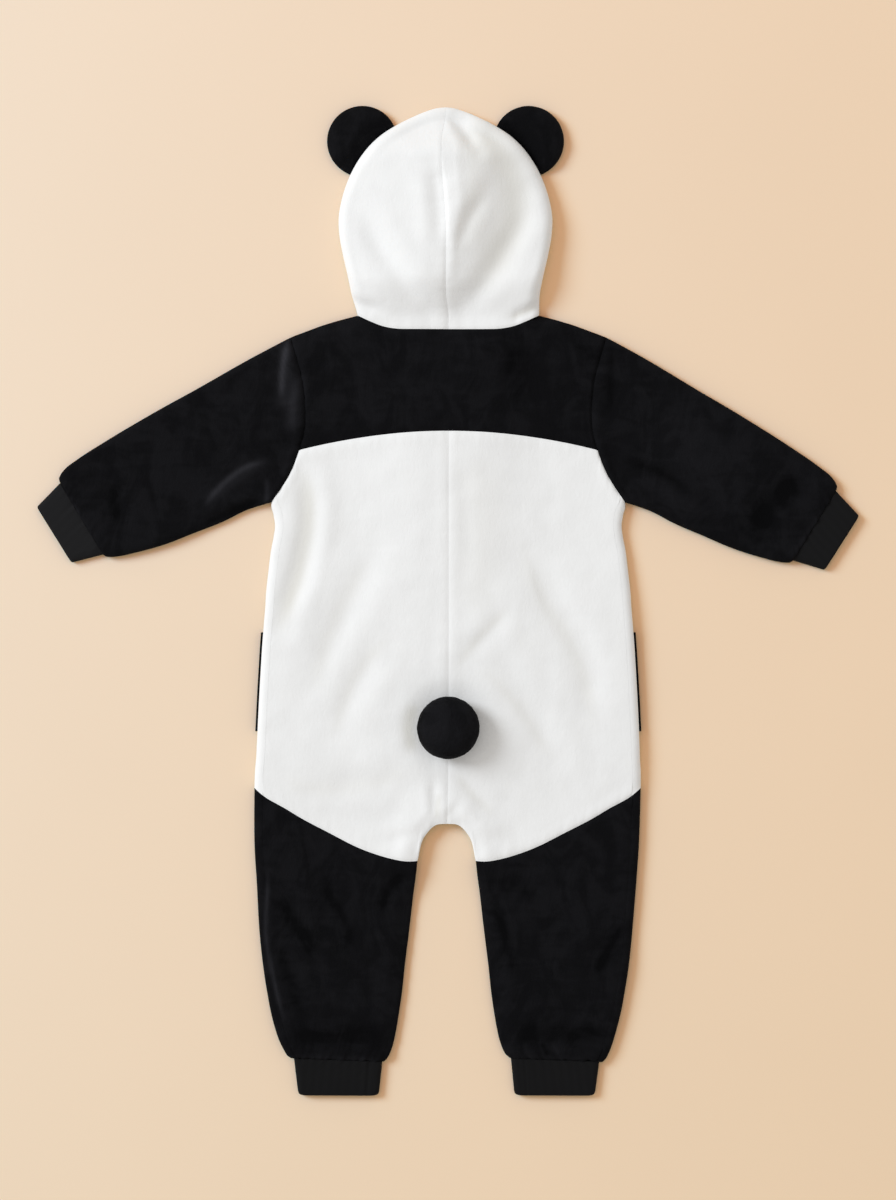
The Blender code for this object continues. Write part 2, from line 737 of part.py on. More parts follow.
def make_hood_half(name, side, finish):
    """From the middle seam over the back, round the side fold and under to the face opening."""
    outer, inner = [], []
    last = len(HOOD_EDGE) - 1
    back_neck_y, front_neck_y = BACK_NECK[0][1] + SEAM_GAP, front_neck()[0][1] + 1.5 * SEAM_GAP
    for index, edge in enumerate(HOOD_EDGE):
        up = index / last
        edge = np.array(edge, float) + (SEAM_GAP / 2 * up, SEAM_GAP * (1 - up))
        back = np.array((SEAM_GAP / 2, back_neck_y + up * (HOOD_FOREHEAD_Y - back_neck_y)))
        face_x = SEAM_GAP / 2 if index == last else HOOD_FACE_GAP
        face = np.array((face_x, front_neck_y + up * (HOOD_FOREHEAD_Y - front_neck_y)))
        near_neck = max(0.0, 1 - index / 4)

        def follow(spine, neck, fraction, edge=edge, near_neck=near_neck):
            """A plan point on the way from the spine to the edge, bent along the neckline."""
            chord = neck[0][1] + (neck[-1][1] - neck[0][1]) * fraction
            bend = near_neck * (at(neck, neck[-1][0] * fraction) - chord)
            x, y = spine + (edge - spine) * fraction + (0, bend)
            return leaned(x, y, side), y

        def flat_fractions(spine, edge=edge, near_neck=near_neck):
            """Even steps to the fold, which near the neck fall on the neckline's own points."""
            stop = 1 - HOOD_FOLD / np.linalg.norm(edge - spine)
            stations = [x / BACK_NECK[-1][0] for x, _ in BACK_NECK[:-1]]
            even = np.linspace(0, stop, len(stations))
            return [(1 - near_neck) * e + near_neck * s for e, s in zip(even, stations)]

        row, row_inner = [], []
        over, under = flat_fractions(back), flat_fractions(face)
        for fraction in over:
            x, y = follow(back, BACK_NECK, fraction)
            z = high(side * x, y)
            row.append((x, y, z))
            row_inner.append((x, y, z - WALL))
        top_z = row[-1][2]
        under_x, under_y = follow(face, front_neck(), under[-1])
        bottom_z = low(side * under_x, under_y)
        half = (top_z - bottom_z) / 2
        for step in range(1, FOLD_STEPS):
            turn = math.pi * step / FOLD_STEPS
            above = step <= FOLD_STEPS / 2
            spine, neck, near = (back, BACK_NECK, over[-1]) if above else (face, front_neck(), under[-1])
            for points, wall in ((row, 0), (row_inner, WALL)):
                bulge = (HOOD_FOLD - wall) / HOOD_FOLD * math.sin(turn)
                x, y = follow(spine, neck, near + (1 - near) * bulge)
                points.append((x, y, bottom_z + half + (half - wall) * math.cos(turn)))
        for fraction in reversed(under):
            x, y = follow(face, front_neck(), fraction)
            z = low(side * x, y)
            row.append((x, y, z))
            row_inner.append((x, y, z + WALL))
        outer.append(row)
        inner.append(row_inner)
    add_wall(name, outer, inner, finish, side)


def make_ear(name, side, finish):
    """A stuffed disc with its flat base along the hood's outline."""
    centre = np.array(EAR_CENTRE)
    base = [np.array(point, float) for point in HOOD_EDGE[7:12]]
    crossings = []
    for first, second in zip(base, base[1:]):
        for fraction in np.linspace(0, 1, 41):
            point = first + (second - first) * fraction
            crossings.append((abs(math.dist(point, centre) - EAR_RADIUS), tuple(point)))
    crossings.sort()
    low_corner = min(crossings[:6], key=lambda c: c[1][1])[1]
    high_corner = max(crossings[:6], key=lambda c: c[1][1])[1]
    inset = EAR_GAP / EAR_RADIUS
    start = math.atan2(low_corner[1] - centre[1], low_corner[0] - centre[0]) + inset
    stop = math.atan2(high_corner[1] - centre[1], high_corner[0] - centre[0]) - inset
    angles = np.linspace(start, stop, EAR_STEPS + 1)
    outline = [tuple(centre + EAR_RADIUS * np.array((math.cos(a), math.sin(a)))) for a in angles]
    for point in reversed(base):
        if low_corner[1] + EAR_CORNER < point[1] < high_corner[1] - EAR_CORNER:
            away = centre - point
            outline.append(tuple(point + away / np.linalg.norm(away) * EAR_GAP))
    outline = [(leaned(x, y, side), y) for x, y in outline]
    middle = (leaned(*EAR_MIDDLE, side), EAR_MIDDLE[1])
    add_pillow(name, outline, middle, EAR_PROFILE, 0.0, EAR_HEIGHT, finish, side)


def add_pillow(name, outline, middle, profile, low_z, high_z, finish, side):
    """A closed form of rings scaled from an outline; the profile's columns are scale and height."""
    points = []
    for scale, height in profile:
        for x, y in outline:
            ring_x = middle[0] + (x - middle[0]) * scale
            ring_y = middle[1] + (y - middle[1]) * scale
            points.append((ring_x, ring_y, height))
    count = len(outline)
    faces = []
    for ring in range(len(profile) - 1):
        for index in range(count):
            following = (index + 1) % count
            start, end = ring * count, (ring + 1) * count
            faces.append([start + index, start + following, end + following, end + index])
    points += [(middle[0], middle[1], low_z), (middle[0], middle[1], high_z)]
    last = (len(profile) - 1) * count
    for index in range(count):
        following = (index + 1) % count
        faces.append([following, index, len(points) - 2])
        faces.append([last + index, last + following, len(points) - 1])
    add_piece(name, points, faces, finish, side)


def make_tail(finish):
    """A stuffed ball whose underside follows the back it is sewn to."""
    turns = [2 * math.pi * step / TAIL_STEPS for step in range(TAIL_STEPS)]
    seat = [(TAIL_SEAT * math.cos(turn), TAIL_Y + TAIL_SEAT * math.sin(turn)) for turn in turns]
    floor = max(high(x, y) for x, y in seat) + 1.3 * SEAM_GAP
    outline = [(math.cos(turn), TAIL_Y + math.sin(turn)) for turn in turns]
    rings = [(radius, floor + height) for radius, height in TAIL_PROFILE]
    add_pillow("tail", outline, (0.0, TAIL_Y), rings, floor, floor + TAIL_HEIGHT, finish, 1)


def make_pocket(name, side, finish):
    """A patch on the front, made from the front's own points moved out."""
    outer, inner = [], []
    for y in np.linspace(POCKET_LOW_Y, POCKET_HIGH_Y, 7):
        cut = max(0.0, POCKET_LOW_Y + POCKET_CORNER - y) / POCKET_CORNER
        start = POCKET_INNER_X + POCKET_CORNER * (1 - math.sqrt(1 - cut * cut)) * 0.7
        end = side_x(y) - BODY_FOLD
        row = [(x, y, low(side * x, y) - POCKET_LIFT) for x in np.linspace(start, end, 6)]
        row_inner = [(x, row_y, z + POCKET_WALL) for x, row_y, z in row]
        bottom = row[-1][2] + POCKET_LIFT
        half = (high(side * end, y) - bottom) / 2
        for degrees in (30, 60, 86):
            turn = math.radians(degrees)
            for points, out in ((row, POCKET_LIFT), (row_inner, SEAM_GAP)):
                across = BODY_FOLD + min(out, POCKET_EDGE)
                points.append(
                    (end + across * math.sin(turn), y, bottom + half - (half + out) * math.cos(turn))
                )
        outer.append(row)
        inner.append(row_inner)
    add_wall(name, outer, inner, finish, side)


def make_placket(finish):
    neck_y = front_neck()[1][1] - SEAM_GAP
    low_z = BUTTON_HEIGHT + SEAM_GAP
    outer = []
    for up in np.linspace(0, 1, 9):
        y = PLACKET_BOTTOM_Y + up * (neck_y - PLACKET_BOTTOM_Y)
        outer.append([(x, y, low_z) for x in np.linspace(-PLACKET_HALF, PLACKET_HALF, 4)])
    inner = [[(x, y, z + PLACKET_WALL) for x, y, z in row] for row in outer]
    add_wall("placket", outer, inner, finish)


def make_button(name, y, finish):
    """A turned disc with a raised rim round its shallow dish, face down."""
    profile = [
        (BUTTON_RADIUS * 0.62, 0.7),
        (BUTTON_RADIUS * 0.72, 0.0),
        (BUTTON_RADIUS * 0.92, 0.0),
        (BUTTON_RADIUS, 0.9),
        (BUTTON_RADIUS * 0.8, BUTTON_HEIGHT),
    ]
    turns = [2 * math.pi * step / 12 for step in range(12)]
    outline = [(math.cos(turn), y + math.sin(turn)) for turn in turns]
    add_pillow(name, outline, (0.0, y), profile, 0.7, BUTTON_HEIGHT, finish, 1)


def main():
    clear_scene()
    white = material("white_fleece", WHITE, 0.95)
    black = material("black_fleece", BLACK, 0.92)
    knit = material("black_knit", KNIT_BLACK, 0.85)
    plastic = material("button_plastic", BUTTON_BLACK, 0.35)
    make_yoke(black)
    for name, side in (("left", -1), ("right", 1)):
        make_hood_half("hood_" + name, side, white)
        make_ear("ear_" + name, side, black)
        make_front_yoke("front_yoke_" + name, side, black)
        make_back("back_" + name, side, white)
        make_front("front_" + name, side, white)
        make_sleeve("sleeve_" + name, side, black)
        make_sleeve_cuff("sleeve_cuff_" + name, side, knit)
        make_back_leg("back_leg_" + name, side, black)
        make_front_leg("front_leg_" + name, side, black)
        make_leg_cuff("leg_cuff_" + name, side, knit)
        make_pocket("pocket_" + name, side, black)
    make_tail(black)
    make_placket(white)
    for index in range(BUTTON_COUNT):
        make_button(f"button_{index + 1}", BUTTON_TOP_Y - index * BUTTON_PITCH, plastic)


main()
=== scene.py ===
"""A toddler's panda onesie in plush fleece, laid out flat on its front with its back upwards.

Outlines, seams and creases are given in millimetres for the side with x > 0 and mirrored for the
other; meshes are written in metres. +Y runs from the feet to the hood and +Z is up.
"""

import json
import math

import bpy
import numpy as np
from bpy.props import FloatProperty, FloatVectorProperty, PointerProperty
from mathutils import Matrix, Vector

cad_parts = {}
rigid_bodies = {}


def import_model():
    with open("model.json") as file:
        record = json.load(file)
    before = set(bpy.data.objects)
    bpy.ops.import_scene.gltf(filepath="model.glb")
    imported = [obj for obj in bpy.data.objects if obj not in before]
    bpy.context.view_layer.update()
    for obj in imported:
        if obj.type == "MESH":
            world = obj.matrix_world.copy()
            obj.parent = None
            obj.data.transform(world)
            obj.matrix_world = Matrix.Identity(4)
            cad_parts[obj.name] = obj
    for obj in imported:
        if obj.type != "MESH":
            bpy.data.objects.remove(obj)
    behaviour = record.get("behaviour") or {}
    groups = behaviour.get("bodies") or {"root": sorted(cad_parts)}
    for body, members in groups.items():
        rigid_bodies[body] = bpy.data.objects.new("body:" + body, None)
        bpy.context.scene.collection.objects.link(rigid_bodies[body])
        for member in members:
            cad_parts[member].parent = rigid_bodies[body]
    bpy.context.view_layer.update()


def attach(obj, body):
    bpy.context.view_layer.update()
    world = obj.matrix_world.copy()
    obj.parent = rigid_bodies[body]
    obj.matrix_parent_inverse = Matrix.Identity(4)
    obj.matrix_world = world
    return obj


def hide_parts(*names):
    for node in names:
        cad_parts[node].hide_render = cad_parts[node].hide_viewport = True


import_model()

bl_info = {
    "name": "Panda Onesie",
    "version": (1, 0, 0),
    "blender": (4, 5, 0),
    "location": "3D View > Sidebar > Onesie",
    "description": "Sews a laid-out panda onesie of plush fleece with knit cuffs, ears and a ball tail",
    "category": "Object",
}

MM = 0.001
SIDES = (("left", -1), ("right", 1))

# The part of the floor that the camera sees, in metres
FIELD_HEIGHT = 1.110
FIELD_CENTRE = (-0.0003, 0.0005)

# Studio, in metres: the floor, a soft light beyond the left sleeve and two washes on the floor alone
FLOOR_SIZE = 14
FLOOR_Z = -0.0002
KEY_SIZE = 3.74
KEY_COLOUR = (0.907, 0.948, 1.0)
KEY_PLACE = Vector((-6.39, 2.975, 4.76))
COOL_SIZE = 1.6
COOL_COLOUR = (0.0, 0.34, 1.0)
COOL_PLACE = Vector((-2.6, 1.0, 1.9))
WARM_SIZE = 3.0
WARM_COLOUR = (1.0, 0.0, 0.0)
WARM_PLACE = Vector((-0.3, 0.9, 3.0))

# Cloth walls and how the layers lie
WALL = 3.0
KNIT_WALL = 2.2
POCKET_WALL = 2.2
SEAM_GAP = 0.06  # between two edges that are sewn together
LAYER_GAP = 0.3  # between a panel and what is sewn onto it
STACK = 9.6  # front, air and back where the layers lie loose
SEWN_STACK = 6.6  # where the edges of two layers are sewn together
SEWN_SLOPE = 16.0  # how far from a sewn edge the layers have parted
CUFF_STACK = 7.4
HEM_SLOPE = 14.0
HEM_SHARE = 0.5  # how far the layers are drawn together at a cuff

# Mesh spacing, closer together next to a seam
STEP = 2.6
NEAR_SEAM = (0.0, 0.5, 1.1, 1.9, 3.0, 4.6)

WHITE_THREAD = (0.8, 0.8, 0.79)
BLACK_THREAD = (0.015, 0.015, 0.016)

# Relief beside a seam
PUCKER_PITCH = 12.0
SEAM_SWELL_PLACE = 6.5
SEAM_SWELL_WIDTH = 4.5
GATHER_PITCH = 11.0
GATHER_PLACE = 7.0
GATHER_WIDTH = 6.0

# How far each side fold reaches in from the outline before its back seam
BODY_FOLD = 8.0
SLEEVE_FOLD = 7.0
CUFF_FOLD = 5.0
HOOD_FOLD = 12.0
FOLD_STEPS = 14

# Front fastening
BUTTON_RADIUS = 9.0
BUTTON_HEIGHT = 2.4
BUTTON_TOP_Y = 197.0
BUTTON_PITCH = 70.0
BUTTON_COUNT = 5
BUTTON_RIM = 1.7  # width of the raised rim round the face
BUTTON_DISH = 0.7  # depth of the face inside it
BUTTON_MIDDLE = 2.2  # how far in the middle of the face begins, and how far it stands up
BUTTON_MIDDLE_RISE = 0.12
BUTTON_BACK_RIM = 1.2
BUTTON_BACK_RISE = 0.15
BUTTON_EDGE = 0.22
BUTTON_HOLE = 0.75
BUTTON_HOLE_CIRCLE = 2.1
PLACKET_HALF = 14.0
PLACKET_WALL = 2.0
PLACKET_BOTTOM_Y = -114.0
PLACKET_LIFT = BUTTON_HEIGHT + PLACKET_WALL + 2 * LAYER_GAP
PLACKET_SLOPE = 34.0
PLACKET_MARGIN = 8.0
PLACKET_TAIL = 16.0
PLACKET_BRIDGE = 75.0

# Patch pockets on the front
POCKET_INNER_X = 95.0
POCKET_LOW_Y = -121.0
POCKET_HIGH_Y = -29.5
POCKET_CORNER = 20.0
POCKET_LIFT = POCKET_WALL + LAYER_GAP
POCKET_REACH = 0.7
POCKET_EDGE = 2.1
POCKET_MARGIN = 13.0
POCKET_SLOPE = 12.0
POCKET_BRIDGE = 60.0
POCKET_EASE = 20.0

# Stitches, and how far they run from the edge that they hold
STITCH_PITCH = 3.2
STITCH_LENGTH = 2.5
STITCH_RADIUS = 0.28
FACE_HEM = 6.5
POCKET_TOPSTITCH = 3.2
POCKET_HEM = 14.0
PLACKET_TOPSTITCH = 3.0
PLACKET_BAR = 22.0

# Outline and seams, as columns x and y
BACK_NECK = [(0, 251), (12, 251), (24, 251), (36, 251), (48, 251.4), (60, 253.6), (72, 258.2), (84, 264)]
FRONT_NECK_DROP = 36.0
SHOULDER = [(84, 264), (100, 259.8), (116, 255), (131, 249.5), (146.5, 243.7)]
ARMHOLE = [
    (146.5, 243.7), (140.8, 225), (135.6, 205), (133.2, 184), (133.2, 160), (138.1, 139.2),
    (147, 116.5), (155.2, 103), (163.7, 91),
]
YOKE_MIDDLE_Y = 156.8
YOKE_RISE = 17.6
ARMHOLE_YOKE = 5  # the armhole's point where the yoke seam ends
CROTCH_ARCH = [(0, -206.4), (9.5, -207.2), (20.5, -218), (27, -241)]
CROTCH_LIFT = 5.0  # the bunched seams hold the crotch off the floor
CROTCH_SLOPE = 45.0
LEG_SEAM = [
    (27, -241), (36, -241.2), (47, -239.7), (59, -236.8), (72, -232.6), (85, -227.3), (98, -220.8),
    (111, -214), (124, -207.4), (137, -200.3), (149, -193), (170.9, -180.3), (178.9, -173.5),
]

# Side outline of the body and the leg, as columns y and x
SIDE = [
    (-425.8, 144.8), (-423.5, 147.4), (-419, 149.7), (-410, 153.5), (-397, 157.6), (-384, 161),
    (-362, 165.2), (-340, 168.6), (-318, 171.1), (-295, 173.1), (-273, 174.9), (-251, 176.6),
    (-230, 178), (-200, 178.8), (-173.5, 178.9), (-150, 178.4), (-120, 177.3), (-75, 175), (-28, 172),
    (10, 168.6), (28, 166.5), (48, 164), (58, 162), (70, 160.6), (80, 161.6), (91, 163.7),
]
INSEAM = [
    (-425.8, 58.2), (-423.5, 55.6), (-419, 53), (-410, 49.6), (-397, 46.6), (-384, 44.4), (-362, 41.2),
    (-340, 38.9), (-318, 36.2), (-295, 33.4), (-273, 30.9), (-251, 28), (-241, 27),
]
LEG_HEM_Y = -425.8

# Hood: the outline's sections from the neck to the peak
HOOD_EDGE = [
    (84, 264), (86.5, 280), (90, 298), (94.6, 318), (98.2, 338), (98.8, 355), (96, 371), (90.5, 388),
    (82.5, 404), (72, 418.5), (59.5, 430.5), (46, 439.4), (32, 446.8), (18, 453), (7.5, 456.2),
    (0, 457),
]
HOOD_FOREHEAD_Y = 425.0
HOOD_FACE_GAP = 1.2
HOOD_CROWN = 18.0
HOOD_EDGE_SHARE = 0.4
HOOD_FOOT_Y = 255.0
HOOD_PEAK_Y = 452.0
HOOD_SLOPE = 45.0
HOOD_HALF_WIDTH = 92.0
HOOD_LEAN = 2.6  # how far the hood and its ears lie over to the left
HOOD_LEAN_LOW_Y = 262.0
HOOD_LEAN_SLOPE = 25.0
SEAM_BOW = 4.0  # and how far its middle seam bows out beyond that, below the peak
SEAM_BOW_Y = (340.0, 454.0)
SEAM_BOW_ENDS = (70.0, 32.0)
SEAM_BOW_REACH = 10.0
SEAM_BOW_SLOPE = 40.0

EAR_CENTRE = (77.0, 425.6)
EAR_RADIUS = 32.8
EAR_MIDDLE = (82.0, 430.0)
EAR_EDGE_Z = 4.6
EAR_HEIGHT = 12.2
TAIL_Y = -117.0
TAIL_SEAT = 16.0
TAIL_DENT = 2.0  # how far the ball presses the back down
TAIL_DENT_RADIUS = 22.0
TAIL_DENT_SLOPE = 26.0
TAIL_PROFILE = [
    (0, 0), (9, 0), (17, 0.4), (24.3, 3.8), (27.9, 9.6), (28.7, 15.6), (27.2, 22.4), (22.3, 28.4),
    (13.2, 32.5), (0, 34),
]

# Sleeve edges, and the four corners of its cuff
SLEEVE_TOP = [
    (146.5, 243.7), (185, 222.5), (236, 192.7), (263, 177.5), (291, 161), (319, 143.7), (344, 127.1),
    (355, 118.4), (359.6, 112.2), (360.7, 109.2), (359.6, 105.3),
]
SLEEVE_LOW = [
    (163.7, 91), (187, 83.9), (208, 73.6), (236, 62.1), (263, 50.7), (290, 42.3), (305, 38.6),
    (313.5, 37.7), (317.4, 38.1), (319.8, 39.9),
]
CUFF_INNER = ((359.6, 105.3), (319.8, 39.9))
CUFF_OUTER = ((381.1, 82.7), (349, 31.7))
LEG_CUFF_TOP = (59.6, 141.5)
LEG_CUFF_LOW = (62.9, 137.4)
LEG_CUFF_LOW_Y = -458.5

# How the evenly cut garment came to lie
SLEEVE_START_X = 150.0
SLEEVE_REACH = 230.0
SLEEVE_FOOT_Y = -25.0  # below this nothing is carried with the sleeves
SLEEVE_FOOT_SLOPE = 45.0
SLEEVE_TURN = 4.1  # how far the left cuff lies up, and the right one down
SLEEVE_DRIFT = 0.3
LEG_DRIFT = 1.6  # how far both legs lie over to the left
LEG_DRIFT_Y = -110.0
LEG_DRIFT_SLOPE = 140.0
LEG_SPREAD = 1.3  # and the outer edge of the left leg beyond that
LEG_SPREAD_X = 110.0
LEG_SPREAD_TOP_Y = -250.0
LEG_SPREAD_LOW_Y = -430.0
HEM_TILT = 0.035  # how far each hem is turned about its middle
HEM_MIDDLE = 100.0
HEM_REACH = 22.0

# Creases of the upper layer: depth (+ is a trough), half width, the share of the swelling that lies
# on its left side as it runs, and the line that it follows
CREASE_DEPTH = 2.7  # the deepest that they may add up to on the body
CREASE_END = 0.3  # depth at the ends of a crease, as a share of its depth
CREASE_SHOULDER = 0.55  # height of the cloth beside a crease, as a share of its depth
SHOULDER_PLACE = 1.7  # how far from the crease it stands and how wide it is, in half widths
SHOULDER_WIDTH = 0.8
LINE_FALLOFF = 1.6
CREASES = [
    # Hood
    (2.6, 10, 0.35, [(71.9, 376), (67.2, 348.3), (53.4, 321.4), (31.2, 290), (11.7, 269.6)]),
    (7.5, 30, 0.4, [(50, 430), (60, 392), (58, 355), (48, 322), (28, 290), (10, 262)]),
    (2.8, 12, 0.7, [(-84.5, 362.1), (-66.9, 331.6), (-46.5, 300.2), (-22.5, 269.6)]),
    (2.2, 9, 0.4, [(-12.3, 403.8), (-8.6, 369.5), (-6.8, 318)]),
    (-1.6, 5, 0.5, [(-0.3, 441.7), (0, 403.8), (4.4, 352), (4, 300)]),
    (2.2, 9, 0.5, [(35.8, 376), (20.1, 352), (7.1, 321.4)]),
    (1.5, 6, 0.8, [(-82, 275), (-73, 271), (-66, 266)]),
    (2.2, 5, 0.1, [(58, 261), (70, 266.5), (80, 271)]),
    (3.0, 7, 0.6, [(-6.8, 450), (5.3, 446.3), (15.4, 432.4), (27.5, 413.9)]),
    # Back
    (3.4, 11, 0.7, [(-134, 122), (-129, 80.6), (-135.5, 37.1), (-157.3, -23.8)]),
    (1.8, 15, 0.5, [(-62.3, 51.3), (-83.5, 15.3), (-101.1, -21.7), (-126.1, -76.3)]),
    (1.3, 13, 0.5, [(-65, -33.8), (-83.5, -76.3), (-110.4, -121.6)]),
    (1.4, 12, 0.5, [(-113.1, -170.7), (-43.8, -164.2)]),
    (1.2, 5, 0.5, [(-13.2, -167), (-11.4, -201.2)]),
    (1.2, 5, 0.5, [(10.8, -188.2), (1.6, -201.2)]),
    (1.3, 7, 0.5, [(-55.8, -222.5), (-25.3, -216)]),
    (1.3, 7, 0.5, [(22.8, -216), (47.8, -225.2)]),
    (1.2, 10, 0.5, [(10.8, -57.8), (35.8, -31), (59.8, -3.2)]),
    (0.5, 9, 0.5, [(16, 112), (18.2, 9.7)]),
    (1.2, 9, 0.5, [(10.8, -164.2), (41.3, -197.5)]),
    (2.0, 15, 0.4, [(74.6, 45.8), (95.9, 3.2), (123.7, -45.8), (132.9, -124.4)]),
    (1.5, 13, 0.5, [(44.1, -45.8), (69.1, -91.1), (99.6, -142.9)]),
    (-1.3, 12, 0.5, [(62.6, 48.6), (74.6, -3.2), (90.4, -45.8)]),
    # Sleeves
    (-1.8, 5, 0.5, [(-169, 128.5), (-187.5, 122), (-202.4, 111.6), (-217.4, 96.6), (-225, 87)]),
    (-1.4, 4, 0.5, [(-148, 243), (-152.9, 222.5), (-155.2, 186)]),
    (2.4, 5, 0.6, [(-170, 95), (-190, 85.5), (-208, 78), (-232, 68)]),
    (-1.0, 3, 0.5, [(-168.2, 110), (-168.2, 94)]),
    (-1.5, 10, 0.5, [(161.6, 120.7), (228.2, 95.7)]),
    (1.6, 14, 0.5, [(-310.2, 106), (-304, 62)]),
    (1.8, 14, 0.5, [(282.8, 58), (297.6, 90.8), (330, 115.8)]),
    # Legs
    (1.4, 11, 0.5, [(-153.8, -256.7), (-139, -309.4)]),
    (1.7, 12, 0.5, [(-120.5, -249.3), (-113.1, -279.8), (-92.8, -325.1)]),
    (1.5, 11, 0.5, [(-151, -330), (-139, -390.8)]),
    (1.3, 9, 0.5, [(-57.6, -271.5), (-34.5, -251.1)]),
    (1.6, 11, 0.5, [(135.7, -348.3), (147.7, -327.9), (158, -299.2)]),
    (1.4, 10, 0.5, [(41.3, -289.1), (57.1, -350.1)]),
    (1.5, 6, 0.5, [(96, -402), (106.1, -421.3)]),
]

# Uneven swellings of the upper layer: height, the size of their cells and the seed
RUMPLES = ((0.45, 34, 3), (0.22, 13, 4))

# Painted light and shade: streaks painted lighter (+) as highlights on ridges and darker (-) as shade in
# creases, on the hood's shaded side and beside the tail: strength, half width and the line it follows
PAINTED_LIGHT_STREAKS = [
    # Sleeves
    (0.55, 3.4, [(-146, 247), (-152.4, 222.5), (-155, 184)]),
    (0.2, 8, [(-147, 252), (-151, 218), (-154, 170)]),
    (0.2, 9, [(-137, 214), (-143, 184), (-146, 150)]),
    (0.12, 4, [(-140.5, 205), (-144.5, 185), (-144, 160)]),
    (0.42, 3.2, [(-166, 129), (-187.5, 123), (-202.4, 112.6), (-217.4, 97.6), (-227, 84)]),
    (0.14, 8, [(-160, 130), (-187.5, 120), (-206, 106), (-232, 82)]),
    (-0.12, 4, [(-168, 95), (-190, 85.5), (-208, 78), (-234, 66)]),
    (0.22, 3.0, [(-168.2, 115), (-167.6, 104), (-168.6, 88)]),
    (-0.1, 6, [(-309.7, 108), (-306.5, 66)]),
    (0.13, 2.2, [(-351.8, 95), (-323, 39)]),
    (0.04, 34, [(180, 175), (280, 105)]),
    (-0.12, 13, [(281, 52), (297.6, 90.8), (334, 120)]),
    (-0.07, 6, [(160, 133), (195.8, 119), (228, 98)]),
    (0.06, 8, [(170, 117), (238, 80)]),
    (-0.07, 5, [(151.4, 240), (148.6, 170)]),
    (0.08, 2.4, [(348, 89), (319, 45)]),
    # Yoke
    (-0.07, 12, [(59, 240), (63.5, 180)]),
    (-0.05, 7, [(96, 257), (141, 218)]),
    (0.05, 10, [(-130, 254), (-85, 246)]),
    # Legs
    (0.3, 2.6, [(-165, -240), (-164.5, -320.5), (-155, -366.8), (-146, -400)]),
    (-0.1, 7, [(-157, -268), (-144.8, -292.8), (-133.7, -306.6), (-118, -336)]),
    (-0.09, 7, [(-157, -312), (-147.6, -341.8), (-143, -360.3), (-130, -394)]),
    (-0.09, 6, [(-116, -248), (-107.8, -274.3), (-94, -300.2), (-88, -326)]),
    (-0.11, 5, [(-36, -250), (-52.3, -265), (-62, -290)]),
    (-0.09, 11, [(-150, -403), (-52, -403)]),
    (0.07, 2.6, [(-150, -423), (-56, -423.5)]),
    (-0.11, 5, [(164, -296), (146.6, -328.8), (136, -350)]),
    (-0.08, 7, [(43, -272), (55.9, -315.9), (66, -352)]),
    (-0.06, 7, [(34, -256), (86, -273)]),
    (-0.1, 11, [(54, -401), (154, -401)]),
    (-0.1, 3, [(87, -408), (94.5, -422)]),
    (0.09, 3.4, [(96, -408), (109, -426)]),
    (0.05, 2.6, [(60, -423.5), (146, -423)]),
    # Tail: painted highlight over the ball
    (0.07, 22, [(-34, -117), (34, -117)]),
    # Hood: painted shade over its right half and at the neck corner
    (-0.75, 19, [(6, 456), (38, 424), (59, 388), (60, 352), (46, 318), (18, 275)]),
    (-0.35, 15, [(8, 445), (22, 405), (25, 360), (14, 310)]),
    (-0.7, 3.4, [(55, 260), (70, 266.5), (84, 272)]),
    # Back
    (-0.9, 9, [(-134, 130), (-129, 80.6), (-135.5, 37.1), (-160, -38)]),
    (-0.22, 24, [(22, 150), (30, 60), (22, -30)]),
    (-0.35, 5, [(4, -66), (29.9, -32.5), (58, -6)]),
    (-0.3, 8, [(62, 58), (86.5, 2.3), (116.9, -49.5), (140, -132)]),
    (-0.28, 6, [(28, -60), (60.3, -93), (99, -153)]),
    (-0.25, 9, [(-70, 48), (-105, -19), (-130, -96)]),
    (-0.28, 7, [(-48, -26), (-83.5, -67), (-109, -134)]),
    (-0.22, 9, [(-164, -168), (-100, -174), (-30, -158)]),
    (-0.6, 3.4, [(-8, -176), (-9.5, -205)]),
    (-0.35, 5, [(5, -158), (25, -182), (47, -201)]),
    # Painted shadow beside the tail's left side
    (-0.9, 8, [(-29, -92), (-37, -118), (-31, -144)]),
]
# Painted highlight on the cuffs' knit, by place across: strongest on the left cuff, faint on the right one
KNIT_PAINTED_LIGHT = np.array([(-330, 0.44), (-300, 0), (300, 0), (330, 0.08)])


# Curves and heights


def smooth(t):
    t = np.clip(t, 0.0, 1.0)
    return t * t * (3 - 2 * t)


def curved(points, parts=8):
    """A finer chain through a chain's points, curved between them."""
    points = np.array(points, float)
    places = lengths_of(points)
    slopes = np.gradient(points, places, axis=0)
    t = (np.arange(1, parts + 1) / parts)[:, None]
    chain = [points[:1]]
    for a, b, leave, arrive, size in zip(points, points[1:], slopes, slopes[1:], np.diff(places)):
        chain.append(
            (2 * t**3 - 3 * t**2 + 1) * a
            + (t**3 - 2 * t**2 + t) * size * leave
            + (3 * t**2 - 2 * t**3) * b
            + (t**3 - t**2) * size * arrive
        )
    return np.concatenate(chain)


def joined(*chains):
    """Chains that follow each other, as one; each starts where the last one ended."""
    first, *others = (np.array(chain, float) for chain in chains)
    return np.concatenate([first, *(chain[1:] for chain in others)])


def lengths_of(points):
    """Distance along a chain to each of its points."""
    return np.concatenate([[0], np.cumsum(np.linalg.norm(np.diff(points, axis=0), axis=1))])


def along(line, fractions):
    """The points at fractions of a chain's length."""
    line = np.array(line, float)
    places = lengths_of(line)
    wanted = np.asarray(fractions) * places[-1]
    return np.stack([np.interp(wanted, places, line[:, axis]) for axis in (0, 1)], axis=-1)


def at(table, value):
    """The second column of a table, read at a value of its first."""
    return np.interp(value, table[:, 0], table[:, 1])


